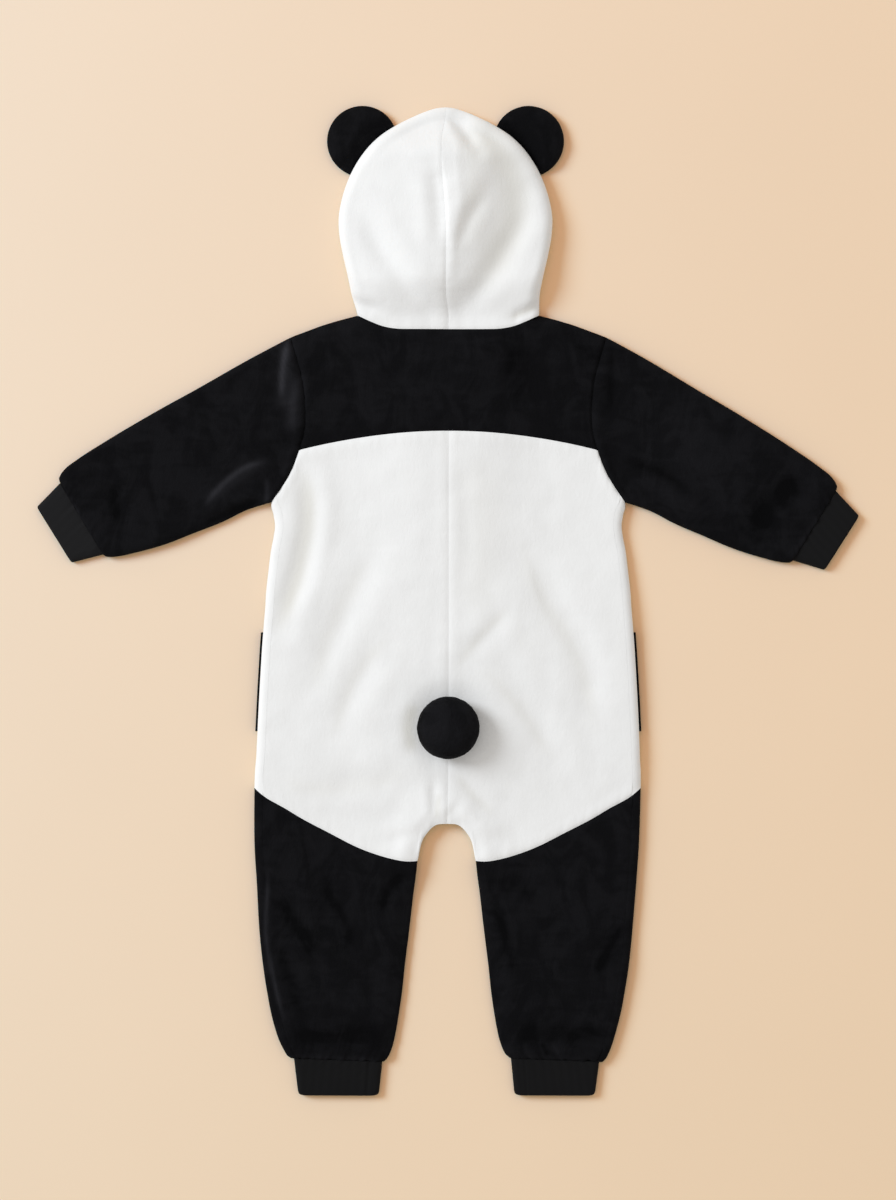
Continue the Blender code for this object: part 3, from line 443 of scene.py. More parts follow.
def spaced(length, start=True, stop=True, step=STEP):
    """Fractions of a length, closer together next to the ends that are seams."""
    head = NEAR_SEAM if start else (0.0,)
    tail = NEAR_SEAM if stop else (0.0,)
    middle = length - head[-1] - tail[-1]
    even = np.linspace(head[-1], length - tail[-1], max(3, round(middle / step) + 1))
    return np.concatenate([head[:-1], even, [length - t for t in reversed(tail[:-1])]]) / length


SIDE_CURVE = curved(SIDE)
INSEAM_CURVE = curved(INSEAM)
BACK_NECK_CURVE = curved(BACK_NECK)
SHOULDER_CURVE = curved(SHOULDER)
ARMHOLE_CURVE = curved(ARMHOLE)
ARMHOLE_UPPER = ARMHOLE_CURVE[: 8 * ARMHOLE_YOKE + 1]
ARMHOLE_LOWER = ARMHOLE_CURVE[8 * ARMHOLE_YOKE :]
LEG_SEAM_CURVE = curved(LEG_SEAM)
CROTCH_CURVE = curved(CROTCH_ARCH)


def front_neck():
    fold_x = BACK_NECK[-2][0]
    drop = FRONT_NECK_DROP * np.clip(1 - (BACK_NECK_CURVE[:, 0] / fold_x) ** 2, 0, None)
    return np.stack([BACK_NECK_CURVE[:, 0], BACK_NECK_CURVE[:, 1] - drop], axis=1)


def yoke_seam():
    width = ARMHOLE[ARMHOLE_YOKE][0]
    x = np.linspace(0, width, 60)
    return np.stack([x, YOKE_MIDDLE_Y - YOKE_RISE * (x / width) ** 2], axis=1)


FRONT_NECK_CURVE = front_neck()


def beyond_pocket(y):
    """How far y lies past a pocket's ends, with the cloth still raised a little beyond them."""
    return np.maximum(np.maximum(POCKET_LOW_Y - POCKET_EASE - y, y - POCKET_HIGH_Y - POCKET_EASE), 0)


def side_x(y):
    """The white cloth's outline, drawn in a little where a pocket is sewn over it."""
    return at(SIDE_CURVE, y) - POCKET_REACH * (1 - smooth(beyond_pocket(y) / POCKET_EASE))


def line_place(x, y, line):
    """Distance to a chain, the side of it that a point lies on (+1 is left), and its place along it."""
    line = np.array(line, float)
    places = lengths_of(line)
    nearest = np.full(x.shape, np.inf)
    side, place = np.zeros(x.shape), np.zeros(x.shape)
    for (x0, y0), (x1, y1), start in zip(line, line[1:], places):
        run, rise = x1 - x0, y1 - y0
        size = math.hypot(run, rise)
        t = np.clip(((x - x0) * run + (y - y0) * rise) / size**2, 0, 1)
        dx, dy = x - x0 - t * run, y - y0 - t * rise
        distance = np.hypot(dx, dy)
        closer = distance < nearest
        nearest = np.where(closer, distance, nearest)
        side = np.where(closer, np.sign(run * dy - rise * dx), side)
        place = np.where(closer, (start + t * size) / places[-1], place)
    return nearest, side, place


def lifted(x, y, placket_slope, pocket_slope):
    """How far a layer lies off the floor, with slopes of a width beside the placket and the pockets."""
    across = 1 - smooth((np.abs(x) - PLACKET_HALF - PLACKET_MARGIN) / placket_slope)
    beyond = np.maximum(y - FRONT_NECK_CURVE[0, 1] - 1, PLACKET_BOTTOM_Y - PLACKET_TAIL - y)
    length = 1 - smooth(beyond / placket_slope)
    outside = np.hypot(np.maximum(POCKET_INNER_X - POCKET_MARGIN - np.abs(x), 0), beyond_pocket(y))
    crotch = CROTCH_LIFT * (1 - smooth(line_place(np.abs(x), y, CROTCH_ARCH)[0] / CROTCH_SLOPE))
    return PLACKET_LIFT * across * length + POCKET_LIFT * (1 - smooth(outside / pocket_slope)) + crotch


def low(x, y):
    """Outer face of the layer underneath."""
    return lifted(x, y, PLACKET_SLOPE, POCKET_SLOPE)


SEWN_EDGE = joined(CROTCH_CURVE, INSEAM_CURVE[::-1, ::-1])
LEG_HEM = [(INSEAM[0][1], LEG_HEM_Y), (SIDE[0][1], LEG_HEM_Y)]


def sewn(x, y):
    """1 on an edge where two layers are sewn together, falling to 0 where they lie loose."""
    x = np.abs(x)
    near = np.minimum(line_place(x, y, SEWN_EDGE)[0], line_place(x, y, SHOULDER_CURVE)[0])
    hem = np.minimum(line_place(x, y, CUFF_INNER)[0], line_place(x, y, LEG_HEM)[0])
    return np.maximum(1 - smooth(near / SEWN_SLOPE), HEM_SHARE * (1 - smooth(hem / HEM_SLOPE)))


def hood_fullness(x, y):
    lengthways = smooth((y - HOOD_FOOT_Y) / HOOD_SLOPE) * smooth((HOOD_PEAK_Y - y) / HOOD_SLOPE)
    dome = np.clip(1 - (x / HOOD_HALF_WIDTH) ** 2, 0, None)
    return HOOD_CROWN * lengthways * (HOOD_EDGE_SHARE + (1 - HOOD_EDGE_SHARE) * dome)


def ripple(place, pitch, seed):
    """Uneven waves from −1 to 1 along a length."""
    start = np.random.default_rng(seed).uniform(0, 2 * math.pi, 3)
    parts = [np.sin(2 * math.pi * place / (pitch * share) + s) for share, s in zip((1, 0.62, 1.7), start)]
    return sum(parts) / 2.3


def rumple(x, y, size, seed):
    """Soft random heights from −1 to 1 over cells of a size."""
    count = 80
    heights = np.random.default_rng(seed).uniform(-1, 1, (count, count))
    u = (0.8 * x + 0.6 * y) / size + count / 2
    v = (0.8 * y - 0.6 * x) / size + count / 2
    column, row = np.floor(u).astype(int), np.floor(v).astype(int)
    right, up = smooth(u - column), smooth(v - row)
    column, row = column % (count - 1), row % (count - 1)
    below = heights[row, column] * (1 - right) + heights[row, column + 1] * right
    above = heights[row + 1, column] * (1 - right) + heights[row + 1, column + 1] * right
    return below * (1 - up) + above * up


def faded_ends(place, share):
    """1 along the middle of a line, going down to 0 over a share of it at each end."""
    return smooth(place / share) * smooth((1 - place) / share)


CREASE_LINES = [curved(line, 5) for *_, line in CREASES]
PAINTED_LIGHT_LINES = [curved(line, 5) for *_, line in PAINTED_LIGHT_STREAKS]


def out_of_reach(x, y, line, reach):
    """Whether no point comes within reach of a chain's box."""
    beside = x.max() < line[:, 0].min() - reach or x.min() > line[:, 0].max() + reach
    return beside or y.max() < line[:, 1].min() - reach or y.min() > line[:, 1].max() + reach


def crease_depth(x, y):
    """How far the creases draw the upper layer down, and how far their shoulders stand up."""
    trough, swell = np.zeros(x.shape), np.zeros(x.shape)
    for (depth, width, left_share, _), line in zip(CREASES, CREASE_LINES):
        if out_of_reach(x, y, line, 4 * width):
            continue
        distance, side, place = line_place(x, y, line)
        fade = CREASE_END + (1 - CREASE_END) * faded_ends(place, 0.3)
        trough += depth * fade * np.exp(-LINE_FALLOFF * (distance / width) ** 2)
        share = np.where(side > 0, left_share, 1 - left_share)
        shoulder = np.exp(-(((distance - SHOULDER_PLACE * width) / (SHOULDER_WIDTH * width)) ** 2))
        swell += CREASE_SHOULDER * abs(depth) * fade * share * shoulder
    return trough, swell


def painted_light_amount(x, y):
    """How much painted highlight lies on a point, or painted shade where this is below 0."""
    total = np.zeros(x.shape)
    for (strength, width, _), line in zip(PAINTED_LIGHT_STREAKS, PAINTED_LIGHT_LINES):
        if out_of_reach(x, y, line, 3 * width):
            continue
        distance, _, place = line_place(x, y, line)
        across = np.exp(-LINE_FALLOFF * (distance / width) ** 2)
        total += strength * faded_ends(place, 0.25) * across
    return total


def high(x, y):
    """Outer face of the layer on top."""
    folds = bpy.context.scene.onesie_folds
    full = hood_fullness(x, y)
    trough, swell = crease_depth(x, y)
    most = CREASE_DEPTH + 0.6 * full
    trough = np.where(trough > 0, most * np.tanh(trough / most), trough)
    for height, size, seed in RUMPLES:
        swell += height * rumple(x, y, size, seed)
    from_tail = np.hypot(x, y - TAIL_Y) - TAIL_DENT_RADIUS
    trough = np.maximum(trough, TAIL_DENT * (1 - smooth(from_tail / TAIL_DENT_SLOPE)))
    relief = folds.crease * (swell - trough)
    bridged = lifted(x, y, PLACKET_BRIDGE, POCKET_BRIDGE)
    return bridged + SEWN_STACK + (STACK - SEWN_STACK + full + relief) * (1 - sewn(x, y))


def leaned(points, side):
    """Plan points of the hood or an ear, carried over to the left with the hood."""
    x, y = points[..., 0], points[..., 1]
    (low_y, high_y), (low_end, high_end) = SEAM_BOW_Y, SEAM_BOW_ENDS
    bow = smooth((y - low_y) / low_end) * smooth((high_y - y) / high_end)
    bow = bow * (1 - smooth((np.abs(x) - SEAM_BOW_REACH) / SEAM_BOW_SLOPE))
    moved = np.array(points, float)
    moved[..., 0] -= side * (HOOD_LEAN * smooth((y - HOOD_LEAN_LOW_Y) / HOOD_LEAN_SLOPE) + SEAM_BOW * bow)
    return moved


def settled(points):
    """The evenly cut garment as it came to lie, its sleeves and legs a little askew."""
    x, y = points[..., 0], points[..., 1]
    arm = np.clip((np.abs(x) - SLEEVE_START_X) / SLEEVE_REACH, 0, 1) ** 1.3
    arm = arm * smooth((y - SLEEVE_FOOT_Y) / SLEEVE_FOOT_SLOPE)
    leg = smooth((LEG_DRIFT_Y - y) / LEG_DRIFT_SLOPE)
    outer_edge = smooth((-x - LEG_SPREAD_X) / 50)
    spread = outer_edge * smooth((LEG_SPREAD_TOP_Y - y) / 60) * smooth((y - LEG_SPREAD_LOW_Y) / 25)
    near_hem = np.exp(-(((y - LEG_HEM_Y) / HEM_REACH) ** 2))
    tilt = HEM_TILT * (x - np.copysign(HEM_MIDDLE, x)) * near_hem
    moved = np.array(points, float)
    moved[..., 0] -= SLEEVE_DRIFT * arm + LEG_DRIFT * leg + LEG_SPREAD * spread
    moved[..., 1] -= np.copysign(SLEEVE_TURN, x) * arm + tilt
    return moved


# Mesh making


def coons(bottom, top, left, right, across, up):
    """A grid of plan points inside four edges, rows from bottom to top (a Coons patch)."""
    below, above = along(bottom, across), along(top, across)
    start, end = along(left, up)[:, None], along(right, up)[:, None]
    u, v = across[None, :, None], up[:, None, None]
    lower, upper = (1 - u) * below[0] + u * below[-1], (1 - u) * above[0] + u * above[-1]
    corners = (1 - v) * lower + v * upper
    return (1 - v) * below + v * above + (1 - u) * start + u * end - corners


def edge_distances(grid):
    """For each edge of a grid, every point's distance from it and its place along it."""
    across = np.linalg.norm(np.diff(grid, axis=1), axis=2)
    across = np.concatenate([np.zeros((len(grid), 1)), np.cumsum(across, axis=1)], axis=1)
    up = np.linalg.norm(np.diff(grid, axis=0), axis=2)
    up = np.concatenate([np.zeros((1, grid.shape[1])), np.cumsum(up, axis=0)], axis=0)
    return {
        "left": (across, up),
        "right": (across[:, -1:] - across, up),
        "bottom": (up, across),
        "top": (up[-1:] - up, across),
    }


def seam_relief(distance, place, dip, ridge, seed):
    """Height beside a seam: the edge rolls down into it, and swells and puckers behind it."""
    folds = bpy.context.scene.onesie_folds
    pucker, deep = ripple(place, PUCKER_PITCH, seed), dip * folds.seam_dip
    rolled = -deep * (0.75 * np.exp(-((distance / 1.6) ** 2)) + 0.25 * np.exp(-distance / 4))
    swell = np.exp(-(((distance - SEAM_SWELL_PLACE) / SEAM_SWELL_WIDTH) ** 2))
    return rolled + ridge * (1 + 0.3 * pucker) * swell + 0.22 * deep * pucker * np.exp(-distance / 6)


def relief_of(grid, seams):
    """Sum of the relief beside a grid's seams; each seam is an edge's name, dip, ridge and seed."""
    distances = edge_distances(grid)
    total = np.zeros(grid.shape[:2])
    for edge, dip, ridge, seed in seams:
        total += seam_relief(*distances[edge], dip, ridge, seed)
    return total


def raised(grid, z):
    return np.concatenate([grid, np.broadcast_to(z, grid.shape[:2])[..., None]], axis=2)


def grid_sizes(grid, ring):
    """A grid's width and length along its cloth, and its area, in metres."""
    if ring:
        grid = np.concatenate([grid, grid[:, :1]], axis=1)
    width = np.linalg.norm(np.diff(grid, axis=1), axis=2).sum(axis=1).max()
    length = np.linalg.norm(np.diff(grid, axis=0), axis=2).sum(axis=0).max()
    one, two = grid[1:, 1:] - grid[:-1, :-1], grid[1:, :-1] - grid[:-1, 1:]
    area = np.linalg.norm(np.cross(one, two), axis=2).sum() / 2
    return width * MM, length * MM, area * MM**2


def link_mesh(name, points, faces, cloth, corner_uv=None, sharp=60):
    """An object from points in millimetres, with its faces turned outwards and placed by its mesh."""
    plan = np.asarray(points, float)
    points = settled(plan) * MM
    first = points[[face[0] for face in faces]]
    volume = 0.0
    for step in range(1, max(map(len, faces)) - 1):
        picked = [i for i, face in enumerate(faces) if len(face) > step + 1]
        two = points[[faces[i][step] for i in picked]]
        three = points[[faces[i][step + 1] for i in picked]]
        volume += np.einsum("ij,ij->", first[picked], np.cross(two, three))
    if volume < 0:
        faces = [face[::-1] for face in faces]
        corner_uv = None if corner_uv is None else [uv[::-1] for uv in corner_uv]
    mesh = bpy.data.meshes.new(name)
    mesh.from_pydata(points.tolist(), [], faces)
    if corner_uv is not None:
        layer = mesh.uv_layers.new(name="cloth")
        layer.data.foreach_set("uv", np.concatenate(corner_uv).ravel())
    # Painted light and shade: the nap attribute carries the painted highlights and shade, faded out towards
    # the floor side
    if "plush" in cloth.name or "knit" in cloth.name:
        turn = painted_light_amount(plan[:, 0], plan[:, 1]) if "plush" in cloth.name else at(KNIT_PAINTED_LIGHT, plan[:, 0])
        nap = mesh.attributes.new("nap", "FLOAT", "POINT")
        nap.data.foreach_set("value", turn * smooth(plan[:, 2] / STACK))
    mesh.materials.append(cloth)
    mesh.shade_smooth()
    mesh.set_sharp_from_angle(angle=math.radians(sharp))
    piece = bpy.data.objects.new(name, mesh)
    bpy.context.scene.collection.objects.link(piece)
    return piece


def wall_piece(name, outer, inner, side, cloth, ring=False):
    """A wall between two grids of points, rows by columns. A ring's last column joins its first."""
    rows, columns = outer.shape[:2]
    wide = columns + ring
    closing = np.concatenate([outer, outer[:, :1]], axis=1) if ring else outer
    distances = edge_distances(closing)
    uv = np.stack([distances["left"][0], distances["bottom"][0]], axis=-1).reshape(-1, 2) * MM
    row, column = np.meshgrid(np.arange(rows - 1), np.arange(wide - 1), indexing="ij")
    corner = (row * wide + column).ravel()
    below, inside = wide, rows * wide
    outward = np.stack([corner, corner + 1, corner + 1 + below, corner + below], axis=1)
    faces = [outward, outward[:, ::-1] + inside]

    def rim(edge, backwards):
        a, b = edge[:-1], edge[1:]
        if backwards:
            a, b = b, a
        faces.append(np.stack([a, b, b + inside, a + inside], axis=1))

    rim(np.arange(wide), True)
    rim(np.arange(wide) + (rows - 1) * wide, False)
    if not ring:
        rim(np.arange(rows) * wide, False)
        rim(np.arange(rows) * wide + wide - 1, True)
    faces = np.concatenate(faces)
    layer, flat = faces // inside, faces % inside
    points_of = layer * rows * columns + (flat // wide) * columns + (flat % wide) % columns
    points = np.concatenate([outer.reshape(-1, 3), inner.reshape(-1, 3)]) * (side, 1, 1)
    return link_mesh(name, points, points_of.tolist(), cloth, list(uv[flat]))


def sew_on(piece):
    """Ties a finished piece to the frame."""
    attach(piece, "root")


def declare(piece, nodes, sheet=None):
    """The same for a piece that stands for solids, whose solids it hides."""
    sew_on(piece)
    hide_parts(*nodes)
    if sheet:
        width, length, area = sheet
        min(area, width * length)


# Materials


class Wire:
    """A shader socket that takes part in sums and products."""

    def __init__(self, graph, socket):
        self.graph, self.socket = graph, socket

    def _maths(self, operation, first, second):
        return self.graph.node("ShaderNodeMath", {"operation": operation}, {0: first, 1: second})

    def __add__(self, other):
        return self._maths("ADD", self, other)

    def __sub__(self, other):
        return self._maths("SUBTRACT", self, other)

    def __rsub__(self, other):
        return self._maths("SUBTRACT", other, self)

    def __mul__(self, other):
        return self._maths("MULTIPLY", self, other)

    def __pow__(self, other):
        return self._maths("POWER", self, other)

    __radd__ = __add__
    __rmul__ = __mul__


class Finish:
    """One material and the nodes that make it."""

    def __init__(self, name, colour):
        self.material = bpy.data.materials.new(name)
        self.material.use_nodes = True
        self.material.diffuse_color = (*colour, 1)
        self.tree = self.material.node_tree
        self.shader = self.tree.nodes["Principled BSDF"]

    def node(self, kind, settings=None, inputs=None, out=0):
        """Adds a node with its settings and socket values, and gives one of its outputs."""
        made = self.tree.nodes.new(kind)
        for key, value in (settings or {}).items():
            if key == "stops":
                ramp = made.color_ramp
                ramp.interpolation = "EASE"
                for element, (position, shade) in zip(ramp.elements, value):
                    element.position, element.color = position, (shade, shade, shade, 1)
            else:
                setattr(made, key, value)
        for key, value in (inputs or {}).items():
            self.feed(made.inputs[key], value)
        return Wire(self, made.outputs[out])

    def feed(self, socket, value):
        if isinstance(value, Wire):
            self.tree.links.new(value.socket, socket)
        else:
            socket.default_value = value

    def set(self, **values):
        for key, value in values.items():
            self.feed(self.shader.inputs[key.replace("_", " ")], value)

    def place(self):
        return self.node("ShaderNodeTexCoord", out="Object")

    def nap(self):
        """The painted highlights and shade, read from the mesh's nap attribute."""
        return self.node("ShaderNodeAttribute", {"attribute_name": "nap"}, out="Fac")

    def turned(self, angle, stretch):
        """Object coordinates turned about the vertical and stretched along their own x."""
        return self.node(
            "ShaderNodeMapping",
            inputs={"Vector": self.place(), "Rotation": (0, 0, math.radians(angle)), "Scale": stretch},
        )

    def noise(self, where, size, detail=2.0, rough=0.5, bend=0.0):
        """Soft noise with features of a size in millimetres."""
        return self.node(
            "ShaderNodeTexNoise",
            inputs={
                "Vector": where,
                "Scale": 1000 / size,
                "Detail": detail,
                "Roughness": rough,
                "Distortion": bend,
            },
        )

    def ramp(self, value, low_stop, high_stop):
        return self.node("ShaderNodeValToRGB", {"stops": (low_stop, high_stop)}, {"Fac": value})

    def blend(self, factor, first, second):
        """A colour between two colours; the first may be a wire."""
        first = first if isinstance(first, Wire) else (*first, 1)
        inputs = {0: factor, 6: first, 7: (*second, 1)}
        return self.node("ShaderNodeMix", {"data_type": "RGBA"}, inputs, out=2)

    def bump(self, height, distance, strength=1.0):
        return self.node(
            "ShaderNodeBump", inputs={"Height": height, "Distance": distance * MM, "Strength": strength}
        )


def scaled(colour, share):
    return tuple(min(1.0, channel * share) for channel in colour)


def plush(name, dark, light, share, nap_size, depth, roughness, sheen, gloss, dip=None):
    """Short brushed pile: fibres at the finest scale, tufts over them and patches of turned nap.

    Its colour runs from dark to light with the nap's random tone; the painted light and shade of the nap
    attribute move it further along, or, where dip is given, painted shade alone draws it towards dip.
    """
    finish = Finish(name, dark)
    fibres = finish.noise(finish.place(), 1.1, 3, 0.65)
    tufts = finish.noise(finish.turned(24, (1, 0.55, 1)), 3.4, 2, 0.6, 0.6)
    patches = finish.noise(finish.turned(-35, (1, 0.6, 1)), nap_size, 3, 0.55, 1.4)
    strokes = finish.noise(finish.turned(12, (0.35, 1, 1)), nap_size * 0.35, 2, 0.5, 0.8)
    nap = finish.ramp(patches * 0.7 + strokes * 0.3, (0.38, 0), (0.62, 1))
    shade = (nap * 0.5 + fibres * 0.5 + tufts * 0.25) * share
    # Painted light and shade: finish.nap() lightens or darkens the colour along the listed streaks
    if dip:
        colour = finish.blend(finish.nap() * -1.0, finish.blend(shade, dark, light), dip)
    else:
        colour = finish.blend(shade + finish.nap(), dark, light)
    finish.set(
        Base_Color=colour,
        Roughness=roughness - 0.08 * nap,
        Normal=finish.bump(fibres * 0.6 + tufts * 0.9, depth, 0.8),
        Sheen_Weight=sheen,
        Sheen_Roughness=0.5,
        Specular_IOR_Level=gloss,
    )
    return finish.material


def white_plush(cloth):
    light = tuple(cloth.white)
    dark = scaled(light, 0.955)
    # Painted shade: the warm grey that painted shade draws the white towards
    warm = (light[0] * 0.86, light[1] * 0.845, light[2] * 0.8)
    return plush(
        "white_fleece_plush",
        dark,
        light,
        share=1.0,
        nap_size=46,
        depth=0.3,
        roughness=0.95,
        sheen=0.08,
        gloss=0.15,
        dip=warm,
    )


def black_plush(cloth):
    dark = tuple(cloth.black)
    return plush(
        "black_fleece_plush",
        dark,
        # Its light end is mostly for painted highlights; the nap's random tone reaches only 0.15 of the way
        scaled(dark, 16.0),
        share=0.15,
        nap_size=30,
        depth=0.8,
        roughness=0.92,
        sheen=0.012,
        gloss=0.04,
    )


def black_knit(cloth):
    """Fine knit with columns of loops along the cuff."""
    finish = Finish("black_cuff_knit", tuple(cloth.knit))
    across = finish.node("ShaderNodeUVMap", {"uv_map": "cloth"})
    columns = finish.node(
        "ShaderNodeTexWave",
        {"wave_type": "BANDS", "bands_direction": "X", "wave_profile": "SIN"},
        {"Vector": across, "Scale": 1000 / 1.3 / 20, "Distortion": 0.4, "Detail": 1.0, "Detail Scale": 3.0},
        out="Fac",
    )
    rows = finish.node(
        "ShaderNodeTexWave",
        {"wave_type": "BANDS", "bands_direction": "Y", "wave_profile": "SIN"},
        {"Vector": across, "Scale": 1000 / 1.0 / 20, "Distortion": 0.3, "Detail": 1.0},
        out="Fac",
    )
    fuzz = finish.noise(finish.place(), 2.2, 3, 0.6)
    tone = finish.noise(finish.place(), 30, 2, 0.5)
    dark = tuple(cloth.knit)
    # Painted highlight: finish.nap() lightens the cuffs, the left one most
    shade = columns * 0.05 + fuzz * 0.07 + tone * 0.06 + finish.nap()
    finish.set(
        Base_Color=finish.blend(shade, dark, scaled(dark, 5.0)),
        Roughness=0.78 + fuzz * 0.12,
        Normal=finish.bump(columns * 0.7 + rows * 0.3 + fuzz * 0.4, 0.1, 0.6),
        Sheen_Weight=0.02,
        Sheen_Roughness=0.5,
        Specular_IOR_Level=0.12,
    )
    return finish.material


def button_plastic():
    finish = Finish("button_polished_plastic", (0.02, 0.02, 0.022))
    scuffs = finish.noise(finish.place(), 2.0, 4, 0.6)
    cloud = finish.noise(finish.place(), 6.0, 2, 0.5)
    finish.set(
        Base_Color=finish.blend(cloud, (0.012, 0.012, 0.013), (0.03, 0.03, 0.032)),
        Roughness=0.26 + scuffs * 0.16,
        Normal=finish.bump(scuffs, 0.03, 0.4),
        Coat_Weight=0.2,
    )
    return finish.material


def thread(name, colour):
    """Twisted sewing thread."""
    finish = Finish(name, colour)
    twist = finish.noise(finish.turned(35, (1, 0.3, 1)), 0.5, 1, 0.5)
    finish.set(
        Base_Color=finish.blend(twist, scaled(colour, 0.8), colour),
        Roughness=0.6 + twist * 0.2,
        Normal=finish.bump(twist, 0.08, 0.6),
        Sheen_Weight=0.2,
    )
    return finish.material


def floor_paper(colour):
    """A smooth matt backdrop with the faintest mottling."""
    finish = Finish("backdrop_paper", colour)
    cloud = finish.noise(finish.place(), 260, 2, 0.5)
    grain = finish.noise(finish.place(), 1.6, 2, 0.6)
    finish.set(
        Base_Color=finish.blend(cloud * 0.7 + grain * 0.3, scaled(colour, 0.975), scaled(colour, 1.02)),
        Roughness=0.9,
        Normal=finish.bump(grain, 0.05, 0.3),
        Specular_IOR_Level=0.2,
    )
    return finish.material


def cloths():
    """The finishes by name, made once."""
    cloth = bpy.context.scene.onesie_cloth
    makers = {
        "white": ("white_fleece_plush", lambda: white_plush(cloth)),
        "black": ("black_fleece_plush", lambda: black_plush(cloth)),
        "knit": ("black_cuff_knit", lambda: black_knit(cloth)),
        "plastic": ("button_polished_plastic", button_plastic),
        "white_thread": ("white_sewing_thread", lambda: thread("white_sewing_thread", WHITE_THREAD)),
        "black_thread": ("black_sewing_thread", lambda: thread("black_sewing_thread", BLACK_THREAD)),
    }
    return {key: bpy.data.materials.get(name) or make() for key, (name, make) in makers.items()}


# Panels


def until_side(line, inset):
    """The part of a seam up to where it meets the line that lies inset from the side outline."""
    past = int(np.argmax(line[:, 0] >= side_x(line[:, 1]) - inset))
    before, after = line[past - 1], line[past]
    gaps = [point[0] - (side_x(point[1]) - inset) for point in (before, after)]
    share = gaps[0] / (gaps[0] - gaps[1])
    return np.concatenate([line[:past], [before + (after - before) * share]])


def shortened(line, cut):
    """A chain without the last part of its length."""
    places = lengths_of(line)
    stop = places[-1] - cut
    kept = line[places < stop]
    return np.concatenate([kept, along(line, [stop / places[-1]])])


def mirrored(line):
    """A chain from the middle outwards, with its mirror image before it."""
    return np.concatenate([line[:0:-1] * (-1, 1), line])


def from_middle(line):
    line = np.array(line)
    line[0, 0] = SEAM_GAP / 2
    return line


def chain_length(line):
    return lengths_of(line)[-1]


def fold_over(outer, inner, outward, width, side):
    """Carries each row of a lower panel round the side fold, up to the seam on the back."""
    turns = (math.pi * np.arange(1, FOLD_STEPS + 1) / FOLD_STEPS)[None, :]
    corner = outer[:, -1]
    bottom = corner[:, 2:]
    half = (high(side * corner[:, 0], corner[:, 1])[:, None] - bottom) / 2
    folded = []
    for reach, height in ((width, half), (width - WALL, half - WALL)):
        x = corner[:, :1] + outward[:, :1] * reach * np.sin(turns)
        y = corner[:, 1:2] + outward[:, 1:2] * reach * np.sin(turns)
        z = bottom + half - height * np.cos(turns)
        folded.append(np.stack([x, y, z], axis=-1))
    return np.concatenate([outer, folded[0]], axis=1), np.concatenate([inner, folded[1]], axis=1)


def upper_panel(name, grid, side, cloth, seams):
    z = high(side * grid[..., 0], grid[..., 1])
    outer = raised(grid, z + relief_of(grid, seams))
    return wall_piece(name, outer, raised(grid, z - WALL), side, cloth), grid_sizes(outer, False)


def lower_panel(grid, side, seams):
    """The two grids of a panel that lies underneath; relief goes up into the cloth."""
    z = low(side * grid[..., 0], grid[..., 1])
    return raised(grid, z - np.minimum(relief_of(grid, seams), 0)), raised(grid, z + WALL)


def roll_last_columns(outer, dip, seed):
    """Rolls the edge at the end of a fold down into its seam."""
    distance, place = edge_distances(outer)["right"]
    outer[..., 2] += seam_relief(distance, place, dip, 0.2 * dip, seed) * (distance < 12)
    return outer


def body_edges(inset):
    top = joined(from_middle(yoke_seam() - (0, SEAM_GAP / 2)), shortened(ARMHOLE_LOWER, inset))
    seam = until_side(LEG_SEAM_CURVE + (0, SEAM_GAP / 2), inset)
    bottom = joined(from_middle(CROTCH_CURVE), seam)
    y = np.linspace(bottom[-1, 1], top[-1, 1], 160)
    ease = top[-1, 0] - (side_x(top[-1, 1]) - inset)
    side = np.stack([side_x(y) - inset + ease * smooth((y - y[-1] + 18) / 18), y], axis=1)
    middle = np.array([bottom[0], top[0]])
    return bottom, top, middle, side


def body_grid(inset, outer_seam=True):
    bottom, top, middle, side = body_edges(inset)
    across = spaced(chain_length(bottom), stop=outer_seam)
    return coons(bottom, top, middle, side, across, spaced(chain_length(side)))


def make_back(name, side, cloth):
    seams = [
        ("left", 0.35, 0.25, 11),
        ("right", 0.05, 0, 12 + side),
        ("top", 0.8, 0.4, 14),
        ("bottom", 0.8, 0.4, 15),
    ]
    return upper_panel(name, body_grid(BODY_FOLD + SEAM_GAP), side, cloth, seams)


def leg_seam_slope():
    """How steeply the leg seam rises where it meets the side fold."""
    (x0, y0), (x1, y1) = LEG_SEAM[-2:]
    return (y1 - y0) / (x1 - x0)


def make_front(name, side, cloth):
    grid = body_grid(BODY_FOLD, False)
    outer, inner = lower_panel(grid, side, [("top", 1.2, 0, 16), ("bottom", 1.6, 0, 17)])
    y = grid[:, -1, 1]
    from_top, from_low = y[-1] - y, y - y[0]
    tip, corner = ARMHOLE_LOWER[-1], grid[-1, -1]
    arm_x, arm_y = (tip - corner) / BODY_FOLD
    slope, turn = leg_seam_slope(), [0, 17, 34]
    outward = np.stack(
        [
            np.interp(from_top, turn, [arm_x, 1, 1]),
            np.interp(from_top, turn, [arm_y, -0.4, 0]) + np.interp(from_low, turn, [slope, slope / 3, 0]),
        ],
        axis=1,
    )
    outer, inner = fold_over(outer, inner, outward, BODY_FOLD, side)
    outer = roll_last_columns(outer, 0.05, 18)
    return wall_piece(name, outer, inner, side, cloth), grid_sizes(outer, False)


